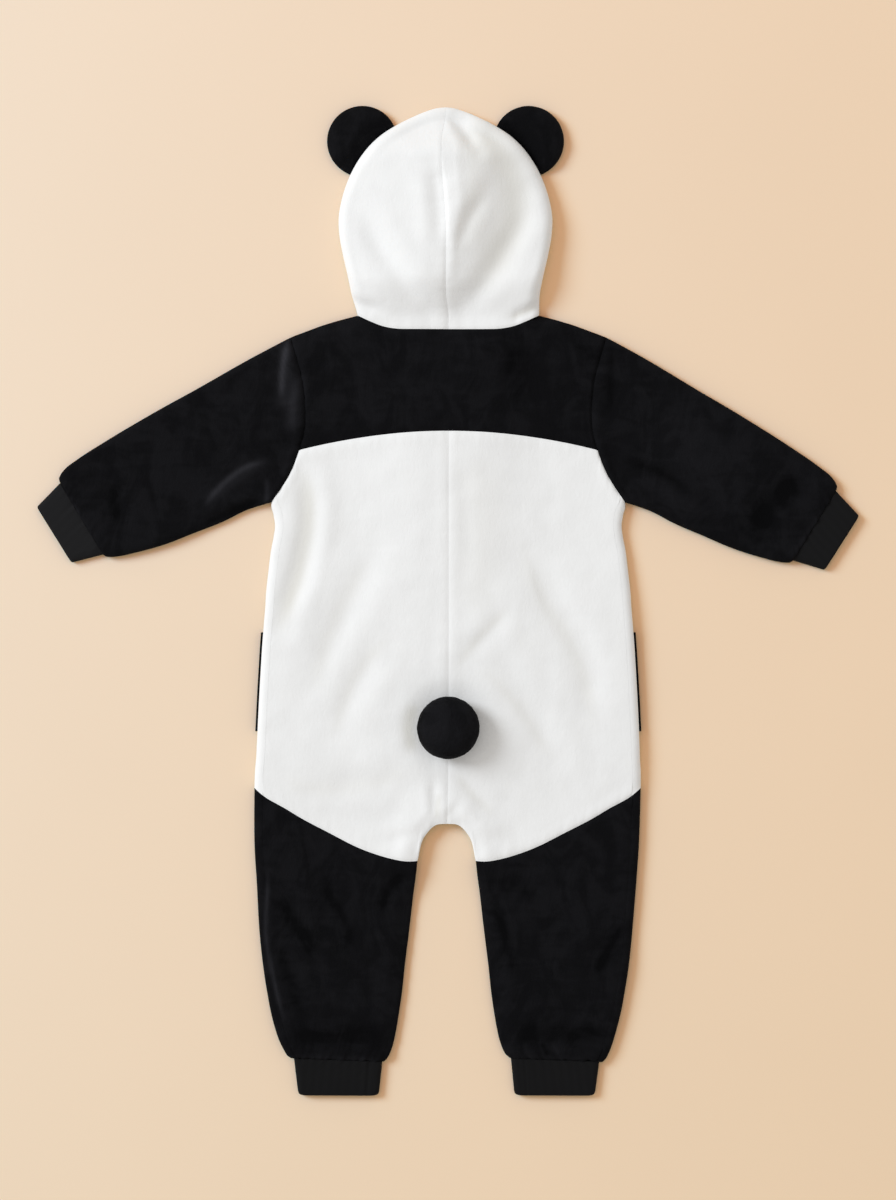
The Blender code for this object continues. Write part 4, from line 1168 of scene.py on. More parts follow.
def leg_grid(inset, side, outer_seam=True):
    top = until_side(LEG_SEAM_CURVE - (0, SEAM_GAP / 2), inset)
    across = spaced(chain_length(top), stop=outer_seam)
    hem_x = np.linspace(INSEAM[0][1], SIDE[0][1] - inset, 80)
    hem = np.stack([hem_x, np.full(80, LEG_HEM_Y)], axis=1)
    inner_y, outer_y = np.linspace(LEG_HEM_Y, top[0, 1], 90), np.linspace(LEG_HEM_Y, top[-1, 1], 90)
    inseam = np.stack([at(INSEAM_CURVE, inner_y), inner_y], axis=1)
    outseam = np.stack([side_x(outer_y) - inset, outer_y], axis=1)
    grid = coons(hem, top, inseam, outseam, across, spaced(chain_length(outseam)))
    scallop = 0.7 * ripple(grid[..., 0], 15, 21 + side) * np.exp(-(grid[..., 1] - LEG_HEM_Y) / 9)
    grid[..., 1] += scallop * (grid[..., 1] < LEG_HEM_Y + 60)
    return grid


def gathers(distance, place, seed, reach=11):
    """Small folds where a wide edge is drawn in to a cuff."""
    folds = bpy.context.scene.onesie_folds
    waves = ripple(place, GATHER_PITCH, seed)
    swell = 1.1 * np.exp(-(((distance - GATHER_PLACE) / GATHER_WIDTH) ** 2))
    return folds.gather * (swell + 0.9 * waves * np.exp(-distance / reach))


def make_back_leg(name, side, cloth):
    grid = leg_grid(BODY_FOLD + SEAM_GAP, side)
    seams = [
        ("left", 1.7, 0, 22),
        ("right", 0.4, 0.1, 23 + side),
        ("top", 1.4, 0.7, 25),
        ("bottom", 1.6, 0, 26),
    ]
    z = high(side * grid[..., 0], grid[..., 1])
    distance, place = edge_distances(grid)["bottom"]
    outer = raised(grid, z + relief_of(grid, seams) + gathers(distance, place, 27 + side))
    return wall_piece(name, outer, raised(grid, z - WALL), side, cloth), grid_sizes(outer, False)


def make_front_leg(name, side, cloth):
    grid = leg_grid(BODY_FOLD, side, False)
    seams = [("left", 1.7, 0, 28), ("top", 1.2, 0, 29), ("bottom", 1.4, 0, 30)]
    outer, inner = lower_panel(grid, side, seams)
    from_top, slope = grid[-1, -1, 1] - grid[:, -1, 1], leg_seam_slope()
    upwards = np.interp(from_top, [0, 30, 60], [slope, slope / 3, 0])
    outward = np.stack([np.ones(len(grid)), upwards], axis=1)
    outer, inner = fold_over(outer, inner, outward, BODY_FOLD, side)
    outer = roll_last_columns(outer, 0.4, 31)
    return wall_piece(name, outer, inner, side, cloth), grid_sizes(outer, False)


def make_back_yoke(name, cloth):
    bottom = mirrored(yoke_seam() + (0, SEAM_GAP / 2))
    top = mirrored(joined(BACK_NECK_CURVE, SHOULDER_CURVE) - (0, SEAM_GAP / 2))
    right = ARMHOLE_UPPER[::-1]
    across, up = spaced(chain_length(bottom)), spaced(chain_length(right))
    grid = coons(bottom, top, right * (-1, 1), right, across, up)
    seams = [
        ("bottom", 1.3, 0.5, 41),
        ("top", 1.5, 0.3, 42),
        ("left", 1.8, 0.2, 43),
        ("right", 1.8, 0.2, 44),
    ]
    return upper_panel(name, grid, 1, cloth, seams)


def make_front_yoke(name, side, cloth):
    bottom = from_middle(yoke_seam() + (0, SEAM_GAP / 2))
    top = from_middle(joined(FRONT_NECK_CURVE, SHOULDER_CURVE) - (0, SEAM_GAP / 2))
    right = ARMHOLE_UPPER[::-1]
    middle = np.array([bottom[0], top[0]])
    grid = coons(bottom, top, middle, right, spaced(chain_length(bottom)), spaced(chain_length(right)))
    seams = [("top", 1.5, 0, 45), ("bottom", 1.2, 0, 46), ("right", 1.5, 0, 47)]
    outer, inner = lower_panel(grid, side, seams)
    return wall_piece(name, outer, inner, side, cloth), grid_sizes(outer, False)


# Tubes


def flat_ring(flat, start, end, fold, wall, heights, top_relief):
    """Outer and inner points of one section of a flattened tube; top_relief raises its upper layer."""
    bottom_z, top_z = heights(flat[:, 0], flat[:, 1])
    upper = np.column_stack([flat, top_z + top_relief])
    upper_in = np.column_stack([flat, top_z - wall])
    lower, lower_in = np.column_stack([flat, bottom_z]), np.column_stack([flat, bottom_z + wall])
    turns = math.pi * np.arange(1, FOLD_STEPS) / FOLD_STEPS

    def turned(index, tip, downwards):
        corner = flat[index]
        out = (tip - corner) / np.linalg.norm(tip - corner)
        low_z, half = bottom_z[index], (top_z[index] - bottom_z[index]) / 2
        lift = np.cos(turns) if downwards else -np.cos(turns)
        swell = top_relief[index] * (1 + lift) / 2
        rows = []
        for reach, height, extra in ((fold, half, swell), (fold - wall, half - wall, 0)):
            plan = corner + out * (reach * np.sin(turns))[:, None]
            rows.append(np.column_stack([plan, low_z + half + height * lift + extra]))
        return rows

    end_out, end_in = turned(-1, np.asarray(end), True)
    start_out, start_in = turned(0, np.asarray(start), False)
    outer = np.concatenate([upper, end_out, lower[::-1], start_out])
    inner = np.concatenate([upper_in, end_in, lower_in[::-1], start_in])
    return outer, inner


def make_sleeve(name, side, cloth):
    """A tube from the armhole, whose seam its first section follows, to the cuff."""
    armhole = ARMHOLE_CURVE + (SEAM_GAP + 0.05, 0)
    seam_length = chain_length(armhole)
    top_edge, low_edge = curved(SLEEVE_TOP), curved(SLEEVE_LOW)
    size = chain_length(top_edge)
    places = spaced(size)
    count = round(seam_length / STEP) + 1

    def heights(x, y):
        return low(side * x, y), high(side * x, y)

    sections = []
    for down in places:
        start, end = along(top_edge, [down])[0], along(low_edge, [down])[0]
        if down == 0:
            start, end = armhole[0], armhole[-1]
        inset = SLEEVE_FOLD / math.dist(start, end)
        fraction = np.linspace(inset, 1 - inset, count)
        middle = np.linspace(SLEEVE_FOLD, seam_length - SLEEVE_FOLD, count) / seam_length
        chord = armhole[0] + (armhole[-1] - armhole[0]) * fraction[:, None]
        straight = start + (end - start) * fraction[:, None]
        flat = straight + (1 - down) ** 2 * (along(armhole, middle) - chord)
        near, far = np.full(count, down * size), np.full(count, (1 - down) * size * 0.85)
        across = fraction * math.dist(start, end)
        relief = seam_relief(near, across, 1.5, 1.5, 51 + side)
        relief += seam_relief(far, across, 1.5, 0, 53) + gathers(far, across, 54 + side, 13)
        sections.append(flat_ring(flat, start, end, SLEEVE_FOLD, WALL, heights, relief))
    outer, inner = (np.array(grids) for grids in zip(*sections))
    return wall_piece(name, outer, inner, side, cloth, ring=True), grid_sizes(outer, True)


def cuff(name, inner_edge, outer_edge, side, cloth, seam_share, corner):
    """A knit tube folded at its end, with its joining seam at a share of its width and rounded corners."""
    inner_edge, outer_edge = np.array(inner_edge, float), np.array(outer_edge, float)
    depth = np.linalg.norm(outer_edge.mean(axis=0) - inner_edge.mean(axis=0))
    columns = round(math.dist(*inner_edge) / 1.6)
    sections = []
    near_end = 1 - np.array([1.4, 0.8, 0.3, 0]) / depth
    places = np.concatenate([spaced(depth, stop=False, step=2.0)[:-1], near_end])

    def heights(x, y):
        return 0 * x, 0 * y + CUFF_STACK

    for down in places:
        start, end = (1 - down) * inner_edge + down * outer_edge
        far = (1 - down) * depth
        drawn_in = corner - math.sqrt(corner**2 - max(corner - far, 0) ** 2)
        inward = (end - start) / math.dist(start, end) * drawn_in
        start, end = start + inward, end - inward
        width = math.dist(start, end)
        fraction = np.linspace(CUFF_FOLD / width, 1 - CUFF_FOLD / width, columns)
        flat = start + (end - start) * fraction[:, None]
        relief = 0.35 * ripple(flat[:, 0] + flat[:, 1], 13, 61 + side) * math.exp(-down * depth / 9)
        relief -= 0.9 * math.exp(-((far / 1.0) ** 2))
        from_seam = (fraction - seam_share) * width
        relief -= 0.55 * np.exp(-((from_seam / 0.9) ** 2))
        relief += 0.25 * np.exp(-((from_seam - 2.6) ** 2) / 3)
        sections.append(flat_ring(flat, start, end, CUFF_FOLD, KNIT_WALL, heights, relief))
    outer, inner = (np.array(grids) for grids in zip(*sections))
    return wall_piece(name, outer, inner, side, cloth, ring=True), grid_sizes(outer, True)


def make_sleeve_cuff(name, side, cloth):
    axis = np.mean(CUFF_OUTER, axis=0) - np.mean(CUFF_INNER, axis=0)
    clear = axis / np.linalg.norm(axis) * SEAM_GAP
    return cuff(name, np.array(CUFF_INNER) + clear, CUFF_OUTER, side, cloth, 0.93, 1.4)


def make_leg_cuff(name, side, cloth):
    top = [(x, LEG_HEM_Y - SEAM_GAP) for x in LEG_CUFF_TOP]
    bottom = [(x, LEG_CUFF_LOW_Y) for x in LEG_CUFF_LOW]
    return cuff(name, top, bottom, side, cloth, 0.15, 3.6)


# Hood, ears and tail


def make_hood_half(name, side, cloth):
    """From the middle seam over the back, round the side fold and under to the face opening."""
    last = len(HOOD_EDGE) - 1
    edge_line = curved(HOOD_EDGE)
    edge_length = chain_length(edge_line)
    edges = along(edge_line, spaced(edge_length, stop=False))
    marks = np.linspace(0, last, len(edge_line))
    ups = np.interp(spaced(edge_length, stop=False) * edge_length, lengths_of(edge_line), marks) / last
    back_y, front_y = BACK_NECK[0][1] + SEAM_GAP, FRONT_NECK_CURVE[0, 1] + 1.5 * SEAM_GAP
    seam_stop = 1 - HOOD_FOLD / (BACK_NECK[-1][0])
    across = spaced(BACK_NECK[-1][0], stop=False)
    across = across[across < seam_stop - 0.02]
    across = np.append(across, seam_stop) / seam_stop
    turns = math.pi * np.arange(1, FOLD_STEPS) / FOLD_STEPS
    outer, inner = [], []
    for up, edge in zip(ups, edges):
        edge = edge + (SEAM_GAP / 2 * up, SEAM_GAP * (1 - up))
        back = np.array((SEAM_GAP / 2, back_y + up * (HOOD_FOREHEAD_Y - back_y)))
        face_x = HOOD_FACE_GAP + (SEAM_GAP / 2 - HOOD_FACE_GAP) * smooth(up * 8 - 7)
        face = np.array((face_x, front_y + up * (HOOD_FOREHEAD_Y - front_y)))
        near_neck = float(np.clip(1 - up * last / 4, 0, 1))

        def follow(spine, neck, fraction, edge=edge, near_neck=near_neck):
            """Plan points on the way from the spine to the edge, bent along the neckline."""
            fraction = np.asarray(fraction)
            chord = neck[0, 1] + (neck[-1, 1] - neck[0, 1]) * fraction
            bend = near_neck * (at(neck, neck[-1, 0] * fraction) - chord)
            return spine + (edge - spine) * fraction[:, None] + np.stack([0 * bend, bend], axis=1)

        over = across * (1 - HOOD_FOLD / np.linalg.norm(edge - back))
        under = across * (1 - HOOD_FOLD / np.linalg.norm(edge - face))
        top = follow(back, BACK_NECK_CURVE, over)
        below = follow(face, FRONT_NECK_CURVE, under)
        top_z = high(side * leaned(top, side)[:, 0], top[:, 1])
        low_z = low(side * leaned(below, side)[:, 0], below[:, 1])
        half = (top_z[-1] - low_z[-1]) / 2
        rows = []
        for wall in (0.0, WALL):
            bulge = (HOOD_FOLD - wall) / HOOD_FOLD * np.sin(turns)
            first = turns <= math.pi / 2
            fold = np.concatenate(
                [
                    follow(back, BACK_NECK_CURVE, over[-1] + (1 - over[-1]) * bulge[first]),
                    follow(face, FRONT_NECK_CURVE, under[-1] + (1 - under[-1]) * bulge[~first]),
                ]
            )
            rows.append(
                np.concatenate(
                    [
                        np.column_stack([top, top_z - wall]),
                        np.column_stack([fold, low_z[-1] + half + (half - wall) * np.cos(turns)]),
                        np.column_stack([below, low_z + wall])[::-1],
                    ]
                )
            )
        outer.append(rows[0])
        inner.append(rows[1])
    outer, inner = np.array(outer), np.array(inner)
    distances = edge_distances(outer)
    columns = np.arange(outer.shape[1])
    upper = 1 - smooth((columns - len(across)) / FOLD_STEPS)
    relief = seam_relief(np.abs(outer[..., 0]), outer[..., 1], 0.5, 0.3, 71)
    relief *= 1 - 0.75 * smooth((outer[..., 1] - 385) / 35)
    relief += seam_relief(*distances["bottom"], 0.8, 0.4, 72 + side)
    outer[..., 2] += upper * relief
    face_seam = seam_relief(*distances["right"], 1.3, 0, 73)
    face_seam += seam_relief(*distances["bottom"], 1.2, 0, 74)
    outer[..., 2] -= (1 - upper) * np.minimum(face_seam, 0)
    return wall_piece(name, leaned(outer, side), leaned(inner, side), side, cloth), grid_sizes(outer, False)


def rings_piece(name, rings, side, cloth, sharp=80):
    """A closed body of rings of points, its first and last ring shrunk to one point each."""
    rings = np.array(rings)
    count = rings.shape[1]
    points = np.concatenate([rings[0][:1], rings[1:-1].reshape(-1, 3), rings[-1][:1]])
    faces = []
    following = np.roll(np.arange(count), -1)
    for ring in range(len(rings) - 3):
        start = 1 + ring * count
        here, there = start + np.arange(count), start + following
        faces += np.stack([here, there, there + count, here + count], axis=1).tolist()
    top, last = len(points) - 1, 1 + (len(rings) - 3) * count
    for index, after in enumerate(following):
        faces.append([1 + int(after), 1 + index, 0])
        faces.append([last + index, last + int(after), top])
    return link_mesh(name, points * (side, 1, 1), faces, cloth, sharp=sharp)


def ear_outline(side):
    """The ear's arc, closed by the stretch of the hood's edge that it is sewn to."""
    centre = np.array(EAR_CENTRE)
    edge = curved(HOOD_EDGE)
    inside = np.hypot(*(edge - centre).T) < EAR_RADIUS
    base = edge[inside]
    base = base + 1.0 * (centre - base) / np.hypot(*(centre - base).T)[:, None]
    low_angle = math.atan2(*(base[0] - centre)[::-1])
    high_angle = math.atan2(*(base[-1] - centre)[::-1])
    angles = np.linspace(low_angle, high_angle, 60)
    arc = centre + EAR_RADIUS * np.stack([np.cos(angles), np.sin(angles)], axis=1)
    closed = np.concatenate([arc, base[::-1][1:-1], arc[:1]])
    return leaned(along(closed, np.linspace(0, 1, 121)[:-1]), side), leaned(base, side)


def make_ear(name, side, cloth):
    """Two plush discs joined round the edge and lightly stuffed, gathered in at the base."""
    outline, base = ear_outline(side)
    middle = leaned(np.array(EAR_MIDDLE), side)
    swell = [(share, 0.0) for share in (0.0, 0.3, 0.6, 0.8)]
    swell += [(0.9, 0.7), (0.955, 1.9), (0.985, 3.2), (1.0, EAR_EDGE_Z - 0.5)]
    swell += [(0.985, EAR_EDGE_Z), (0.998, EAR_EDGE_Z + 0.6)]
    crown = EAR_HEIGHT - EAR_EDGE_Z - 0.5
    for turn in np.linspace(0.08, 1, 16) * math.pi / 2:
        swell.append((math.cos(turn) ** 0.8, EAR_EDGE_Z + 0.5 + crown * math.sin(turn)))
    rings = []
    for scale, height in swell:
        plan = middle + (outline - middle) * scale
        from_base = line_place(plan[:, 0], plan[:, 1], base)[0]
        full = 0.62 + 0.38 * smooth(from_base / 16)
        z = height * full
        pucker = ripple(plan[:, 0] - plan[:, 1], 9, 81) * np.exp(-from_base / 7)
        lumps = 0.5 * rumple(side * plan[:, 0], plan[:, 1], 11, 82)
        lumps += 0.25 * rumple(plan[:, 0], plan[:, 1], 3.6, 83)
        z = np.maximum(z + (height > EAR_EDGE_Z) * scale**0.3 * (lumps + 0.7 * pucker), 0)
        rings.append(np.column_stack([plan, z]))
    rings[0][:] = rings[0].mean(axis=0)
    rings[-1][:] = rings[-1].mean(axis=0)
    return rings_piece(name, rings, side, cloth)


def tail_floor():
    turns = np.linspace(0, 2 * math.pi, 40)
    return float(high(TAIL_SEAT * np.cos(turns), TAIL_Y + TAIL_SEAT * np.sin(turns)).max()) - 0.6


def make_tail(name, cloth):
    """A plush ball drawn together underneath and stitched down."""
    profile = along(curved(TAIL_PROFILE, 12), np.linspace(0, 1, 90))
    turns = np.linspace(0, 2 * math.pi, 181)[:-1]
    floor = tail_floor()
    rings = []
    for radius, height in profile:
        x, y = radius * np.cos(turns), radius * np.sin(turns)
        tufts = 0.3 * rumple(x + 40, y + height, 4.5, 91) + 0.4 * rumple(x - 1.3 * height, y + 60, 2.2, 92)
        reach = 1 + tufts * 0.6 / max(radius, 6) * smooth(radius / 12)
        lift = 0.4 * tufts * smooth((height - 6) / 10)
        rings.append(np.column_stack([x * reach, TAIL_Y + y * reach, floor + height + lift]))
    rings[0][:] = rings[0].mean(axis=0)
    rings[-1][:] = rings[-1].mean(axis=0)
    return rings_piece(name, rings, 1, cloth)


# Pockets, placket and buttons


def pocket_corner(cut):
    """How far a pocket's rounded lower corner is cut in, at a share of its height below its top."""
    return POCKET_CORNER * (1 - math.sqrt(1 - cut * cut)) * 0.7


def make_pocket(name, side, cloth):
    """A patch on the front, made from the front's own points moved out and caught in the side seam."""
    outer, inner = [], []
    turns = np.radians(np.linspace(8, 86, 11))
    height = POCKET_HIGH_Y - POCKET_LOW_Y
    across = spaced(float(side_x(POCKET_LOW_Y)) - BODY_FOLD - POCKET_INNER_X, stop=False)
    for y in POCKET_LOW_Y + spaced(height) * height:
        cut = max(0.0, POCKET_LOW_Y + POCKET_CORNER - y) / POCKET_CORNER
        start = POCKET_INNER_X + pocket_corner(cut)
        end = float(side_x(y)) - BODY_FOLD
        x = start + across * (end - start)
        z = low(side * x, y) - POCKET_LIFT
        bottom = z[-1] + POCKET_LIFT
        half = (float(high(np.array([side * end]), np.array([y]))[0]) - bottom) / 2
        for rows, wall, out in ((outer, 0, POCKET_LIFT), (inner, POCKET_WALL, LAYER_GAP)):
            reach = BODY_FOLD + min(out, POCKET_EDGE)
            flat = np.column_stack([x, np.full(len(x), y), z + wall])
            fold_z = bottom + half - (half + out) * np.cos(turns)
            fold = np.column_stack([end + reach * np.sin(turns), np.full(len(turns), y), fold_z])
            rows.append(np.concatenate([flat, fold]))
    outer, inner = np.array(outer), np.array(inner)
    edges = [("left", 1.1, 0, 101), ("top", 1.1, 0, 102), ("bottom", 1.1, 0, 103)]
    relief = relief_of(outer[..., :2], edges)
    outer[..., 2] -= np.minimum(relief, 0)
    return wall_piece(name, outer, inner, side, cloth), grid_sizes(outer, False)


def pocket_stitch_lines():
    """Topstitching round a pocket, a little inside its edge, in plan."""
    left, foot, top = POCKET_INNER_X + POCKET_TOPSTITCH, POCKET_LOW_Y + POCKET_TOPSTITCH, POCKET_HIGH_Y
    cuts = np.linspace(0.97, 0, 9)
    corner = [(left + pocket_corner(cut), foot + POCKET_CORNER * (1 - cut)) for cut in cuts]
    side_line = [(float(side_x(POCKET_LOW_Y)) - BODY_FOLD, foot), *corner, (left, top)]
    hem_y = top - POCKET_TOPSTITCH - POCKET_HEM
    hem = [(left, hem_y), (float(side_x(top - POCKET_TOPSTITCH)) - BODY_FOLD, hem_y)]
    return [side_line, hem]


def make_placket(name, cloth):
    low_z = BUTTON_HEIGHT + LAYER_GAP
    neck_y = FRONT_NECK_CURVE[8, 1] - SEAM_GAP
    height, width = neck_y - PLACKET_BOTTOM_Y, 2 * PLACKET_HALF
    x = -PLACKET_HALF + spaced(width, step=2.0) * width
    y = PLACKET_BOTTOM_Y + spaced(height) * height
    grid = np.stack(np.meshgrid(x, y), axis=-1)
    edges = [("left", 0.8, 0, 111), ("right", 0.8, 0, 112), ("bottom", 0.8, 0, 113), ("top", 0.8, 0, 114)]
    relief = relief_of(grid, edges)
    drawn = sum(
        0.5 * np.exp(-((grid[..., 0] / 9) ** 2) - ((grid[..., 1] - button_y(index)) / 10) ** 2)
        for index in range(BUTTON_COUNT)
    )
    outer = raised(grid, low_z - np.minimum(relief, 0) + 0.3 * drawn)
    return wall_piece(name, outer, raised(grid, low_z + PLACKET_WALL), 1, cloth), grid_sizes(outer, False)


def button_y(index):
    return BUTTON_TOP_Y - index * BUTTON_PITCH


def stitch_rows(name, lines, z_of, cloth, pitch=STITCH_PITCH, length=STITCH_LENGTH, radius=STITCH_RADIUS):
    """Short rounded stitches set one after another along lines in plan."""
    ring = np.linspace(0, 2 * math.pi, 7)[:-1]
    stations = [(-0.5, 0.3), (-0.4, 0.85), (0.0, 1.0), (0.4, 0.85), (0.5, 0.3)]
    points, faces = [], []
    for line in lines:
        line = np.array(line, float)
        size = chain_length(line)
        count = int(size / pitch)
        centres = along(line, (np.arange(count) + 0.5) * pitch / size)
        ahead = along(line, np.clip((np.arange(count) + 0.7) * pitch / size, 0, 1))
        for centre, target in zip(centres, ahead):
            way = (target - centre) / np.linalg.norm(target - centre)
            across = np.array([-way[1], way[0]])
            base = len(points)
            z = float(z_of(centre))
            for share, fat in stations:
                spots = centre + way * share * length + across * (radius * fat * np.cos(ring))[:, None]
                rise = z + radius * fat * np.sin(ring)
                points += np.column_stack([spots, rise]).tolist()
            for section in range(len(stations) - 1):
                for step in range(6):
                    a, b = base + section * 6 + step, base + section * 6 + (step + 1) % 6
                    faces.append([a, b, b + 6, a + 6])
            last = base + (len(stations) - 1) * 6
            faces += [list(range(base + 5, base - 1, -1)), list(range(last, last + 6))]
    return link_mesh(name, points, faces, cloth, sharp=80)


def deselect():
    for obj in bpy.context.view_layer.objects:
        obj.select_set(False)


def cylinder(name, radius, depth, place, corners):
    deselect()
    bpy.ops.mesh.primitive_cylinder_add(
        vertices=corners, radius=radius * MM, depth=depth * MM, location=[value * MM for value in place]
    )
    made = bpy.context.active_object
    made.name = name
    return made


def select_faces(obj, wanted):
    """Selects the faces whose centre and normal pass a test, in edit mode's face select."""
    bpy.ops.object.mode_set(mode="OBJECT")
    for part in (obj.data.vertices, obj.data.edges):
        part.foreach_set("select", [False] * len(part))
    for face in obj.data.polygons:
        face.select = bool(wanted(face.center / MM, face.normal))
    bpy.ops.object.mode_set(mode="EDIT")
    bpy.ops.mesh.select_mode(type="FACE")


def make_button(name, index, cloth):
    """A turned four-hole button, face down, with a raised rim round a shallow dish."""
    y = button_y(index)
    button = cylinder(name, BUTTON_RADIUS, BUTTON_HEIGHT, (0, y, BUTTON_HEIGHT / 2), 64)
    select_faces(button, lambda centre, normal: normal.z < -0.9)
    bpy.ops.mesh.inset(thickness=BUTTON_RIM * MM)
    bpy.ops.mesh.inset(thickness=BUTTON_DISH * MM)
    bpy.ops.transform.translate(value=(0, 0, BUTTON_DISH * MM))
    bpy.ops.mesh.inset(thickness=BUTTON_MIDDLE * MM)
    bpy.ops.transform.translate(value=(0, 0, BUTTON_MIDDLE_RISE * MM))
    select_faces(button, lambda centre, normal: normal.z > 0.9)
    bpy.ops.mesh.inset(thickness=BUTTON_BACK_RIM * MM)
    bpy.ops.transform.translate(value=(0, 0, -BUTTON_BACK_RISE * MM))
    bpy.ops.object.mode_set(mode="OBJECT")
    for turn in (45, 135, 225, 315):
        angle = math.radians(turn)
        x, up = BUTTON_HOLE_CIRCLE * math.cos(angle), BUTTON_HOLE_CIRCLE * math.sin(angle)
        drill = cylinder("drill", BUTTON_HOLE, 6, (x, y + up, BUTTON_HEIGHT / 2), 20)
        cut = button.modifiers.new("hole", "BOOLEAN")
        cut.operation, cut.object, cut.solver = "DIFFERENCE", drill, "EXACT"
        deselect()
        button.select_set(True)
        bpy.context.view_layer.objects.active = button
        bpy.ops.object.modifier_apply(modifier=cut.name)
        bpy.data.objects.remove(drill, do_unlink=True)
    edge = button.modifiers.new("edge", "BEVEL")
    edge.width, edge.segments = BUTTON_EDGE * MM, 2
    edge.limit_method, edge.angle_limit = "ANGLE", math.radians(40)
    bpy.ops.object.modifier_apply(modifier=edge.name)
    bpy.ops.object.transform_apply(location=True, rotation=True, scale=True)
    bpy.ops.object.shade_smooth_by_angle(angle=math.radians(35))
    button.data.materials.clear()
    button.data.materials.append(cloth)
    return button


# Settings


class OnesieCloth(bpy.types.PropertyGroup):
    white: FloatVectorProperty(
        name="White fleece",
        description="Colour of the white plush",
        subtype="COLOR",
        default=(0.878, 0.888, 0.888),
        min=0,
        max=1,
    )
    black: FloatVectorProperty(
        name="Black fleece",
        description="Colour of the black plush",
        subtype="COLOR",
        default=(0.0023, 0.0023, 0.0027),
        min=0,
        max=1,
    )
    knit: FloatVectorProperty(
        name="Cuff knit",
        description="Colour of the knit cuffs",
        subtype="COLOR",
        default=(0.0035, 0.0035, 0.0038),
        min=0,
        max=1,
    )


class OnesieFolds(bpy.types.PropertyGroup):
    crease: FloatProperty(
        name="Creases",
        description="How deep the creases lie, as a share of their own depth",
        default=1.15,
        min=0,
        max=1.5,
        subtype="FACTOR",
    )
    seam_dip: FloatProperty(
        name="Seam roll",
        description="How far seamed edges roll down, as a share of their own depth",
        default=1.0,
        min=0,
        max=1.5,
        subtype="FACTOR",
    )
    gather: FloatProperty(
        name="Gathers",
        description="How deep the gathers at the cuffs are",
        default=1.0,
        min=0,
        max=2,
        subtype="FACTOR",
    )


class OnesieStage(bpy.types.PropertyGroup):
    floor: FloatVectorProperty(
        name="Floor",
        description="Colour of the floor",
        subtype="COLOR",
        default=(0.768, 0.594, 0.339),
        min=0,
        max=1,
    )
    key_power: FloatProperty(
        name="Key light",
        description="Power of the soft light beyond the left sleeve",
        default=461,
        min=0,
        unit="POWER",
    )
    cool_power: FloatProperty(
        name="Cool wash",
        description="Power of the cool light that only the floor takes",
        default=101,
        min=0,
        unit="POWER",
    )
    warm_power: FloatProperty(
        name="Warm wash",
        description="Power of the warm light that only the floor takes",
        default=18,
        min=0,
        unit="POWER",
    )
    fill: FloatVectorProperty(
        name="Fill",
        description="Colour and strength of the light from all round",
        subtype="COLOR",
        default=(0.645, 0.62, 0.595),
        min=0,
        max=1,
    )
    height: FloatProperty(
        name="Camera height",
        description="Height of the camera over the floor",
        default=2.6,
        min=1,
        unit="LENGTH",
        subtype="DISTANCE",
    )


# Operators


class OnesieOperator:
    bl_options = {"REGISTER", "UNDO"}


def soft_light(name, size, power, colour, place):
    """A round soft light that faces the middle of the garment."""
    light = bpy.data.lights.new(name, "AREA")
    light.shape, light.size, light.energy, light.color = "DISK", size, power, colour
    lamp = bpy.data.objects.new(name, light)
    lamp.location, lamp.rotation_euler = place, (-place).to_track_quat("-Z", "Y").to_euler()
    bpy.context.scene.collection.objects.link(lamp)
    return lamp


class ONESIE_OT_stage(OnesieOperator, bpy.types.Operator):
    """Lay the floor and set the lights and the overhead camera"""

    bl_idname = "onesie.stage"
    bl_label = "Stage"

    def execute(self, context):
        settings = context.scene.onesie_stage
        deselect()
        bpy.ops.mesh.primitive_plane_add(size=FLOOR_SIZE, location=(0, 0, FLOOR_Z))
        floor = context.active_object
        floor.name = "floor"
        bpy.ops.object.transform_apply(location=True)
        floor.data.materials.append(floor_paper(tuple(settings.floor)))
        world = bpy.data.worlds.new("studio")
        world.use_nodes = True
        world.node_tree.nodes["Background"].inputs["Color"].default_value = (*settings.fill, 1)
        context.scene.world = world
        soft_light("soft_key", KEY_SIZE, settings.key_power, KEY_COLOUR, KEY_PLACE)
        receivers = bpy.data.collections.new("floor_only")
        receivers.objects.link(floor)
        for wash in (
            soft_light("cool_wash", COOL_SIZE, settings.cool_power, COOL_COLOUR, COOL_PLACE),
            soft_light("warm_wash", WARM_SIZE, settings.warm_power, WARM_COLOUR, WARM_PLACE),
        ):
            wash.light_linking.receiver_collection = receivers
        lens = bpy.data.cameras.new("overhead")
        lens.sensor_fit = "VERTICAL"
        lens.angle = 2 * math.atan(FIELD_HEIGHT / 2 / (settings.height - STACK * MM))
        camera = bpy.data.objects.new("overhead", lens)
        camera.location = (*FIELD_CENTRE, settings.height)
        context.scene.collection.objects.link(camera)
        context.scene.camera = camera
        context.scene.view_settings.view_transform = "Standard"
        return {"FINISHED"}


class ONESIE_OT_hood(OnesieOperator, bpy.types.Operator):
    """Sew the two halves of the hood"""

    bl_idname = "onesie.hood"
    bl_label = "Hood"

    def execute(self, context):
        finish = cloths()
        for label, side in SIDES:
            half, sheet = make_hood_half(f"hood_{label}_plush", side, finish["white"])
            places = np.linspace(FRONT_NECK_CURVE[0, 1] + 6, HOOD_FOREHEAD_Y - 16, 60)
            line = [(side * FACE_HEM, y) for y in places]
            hem = stitch_rows(
                f"face_hem_stitches_{label}",
                [line],
                lambda p: low(p[:1], p[1:])[0] + 0.08,
                finish["white_thread"],
            )
            sew_on(hem)
            declare(half, [f"hood_{label}"], sheet)
        return {"FINISHED"}


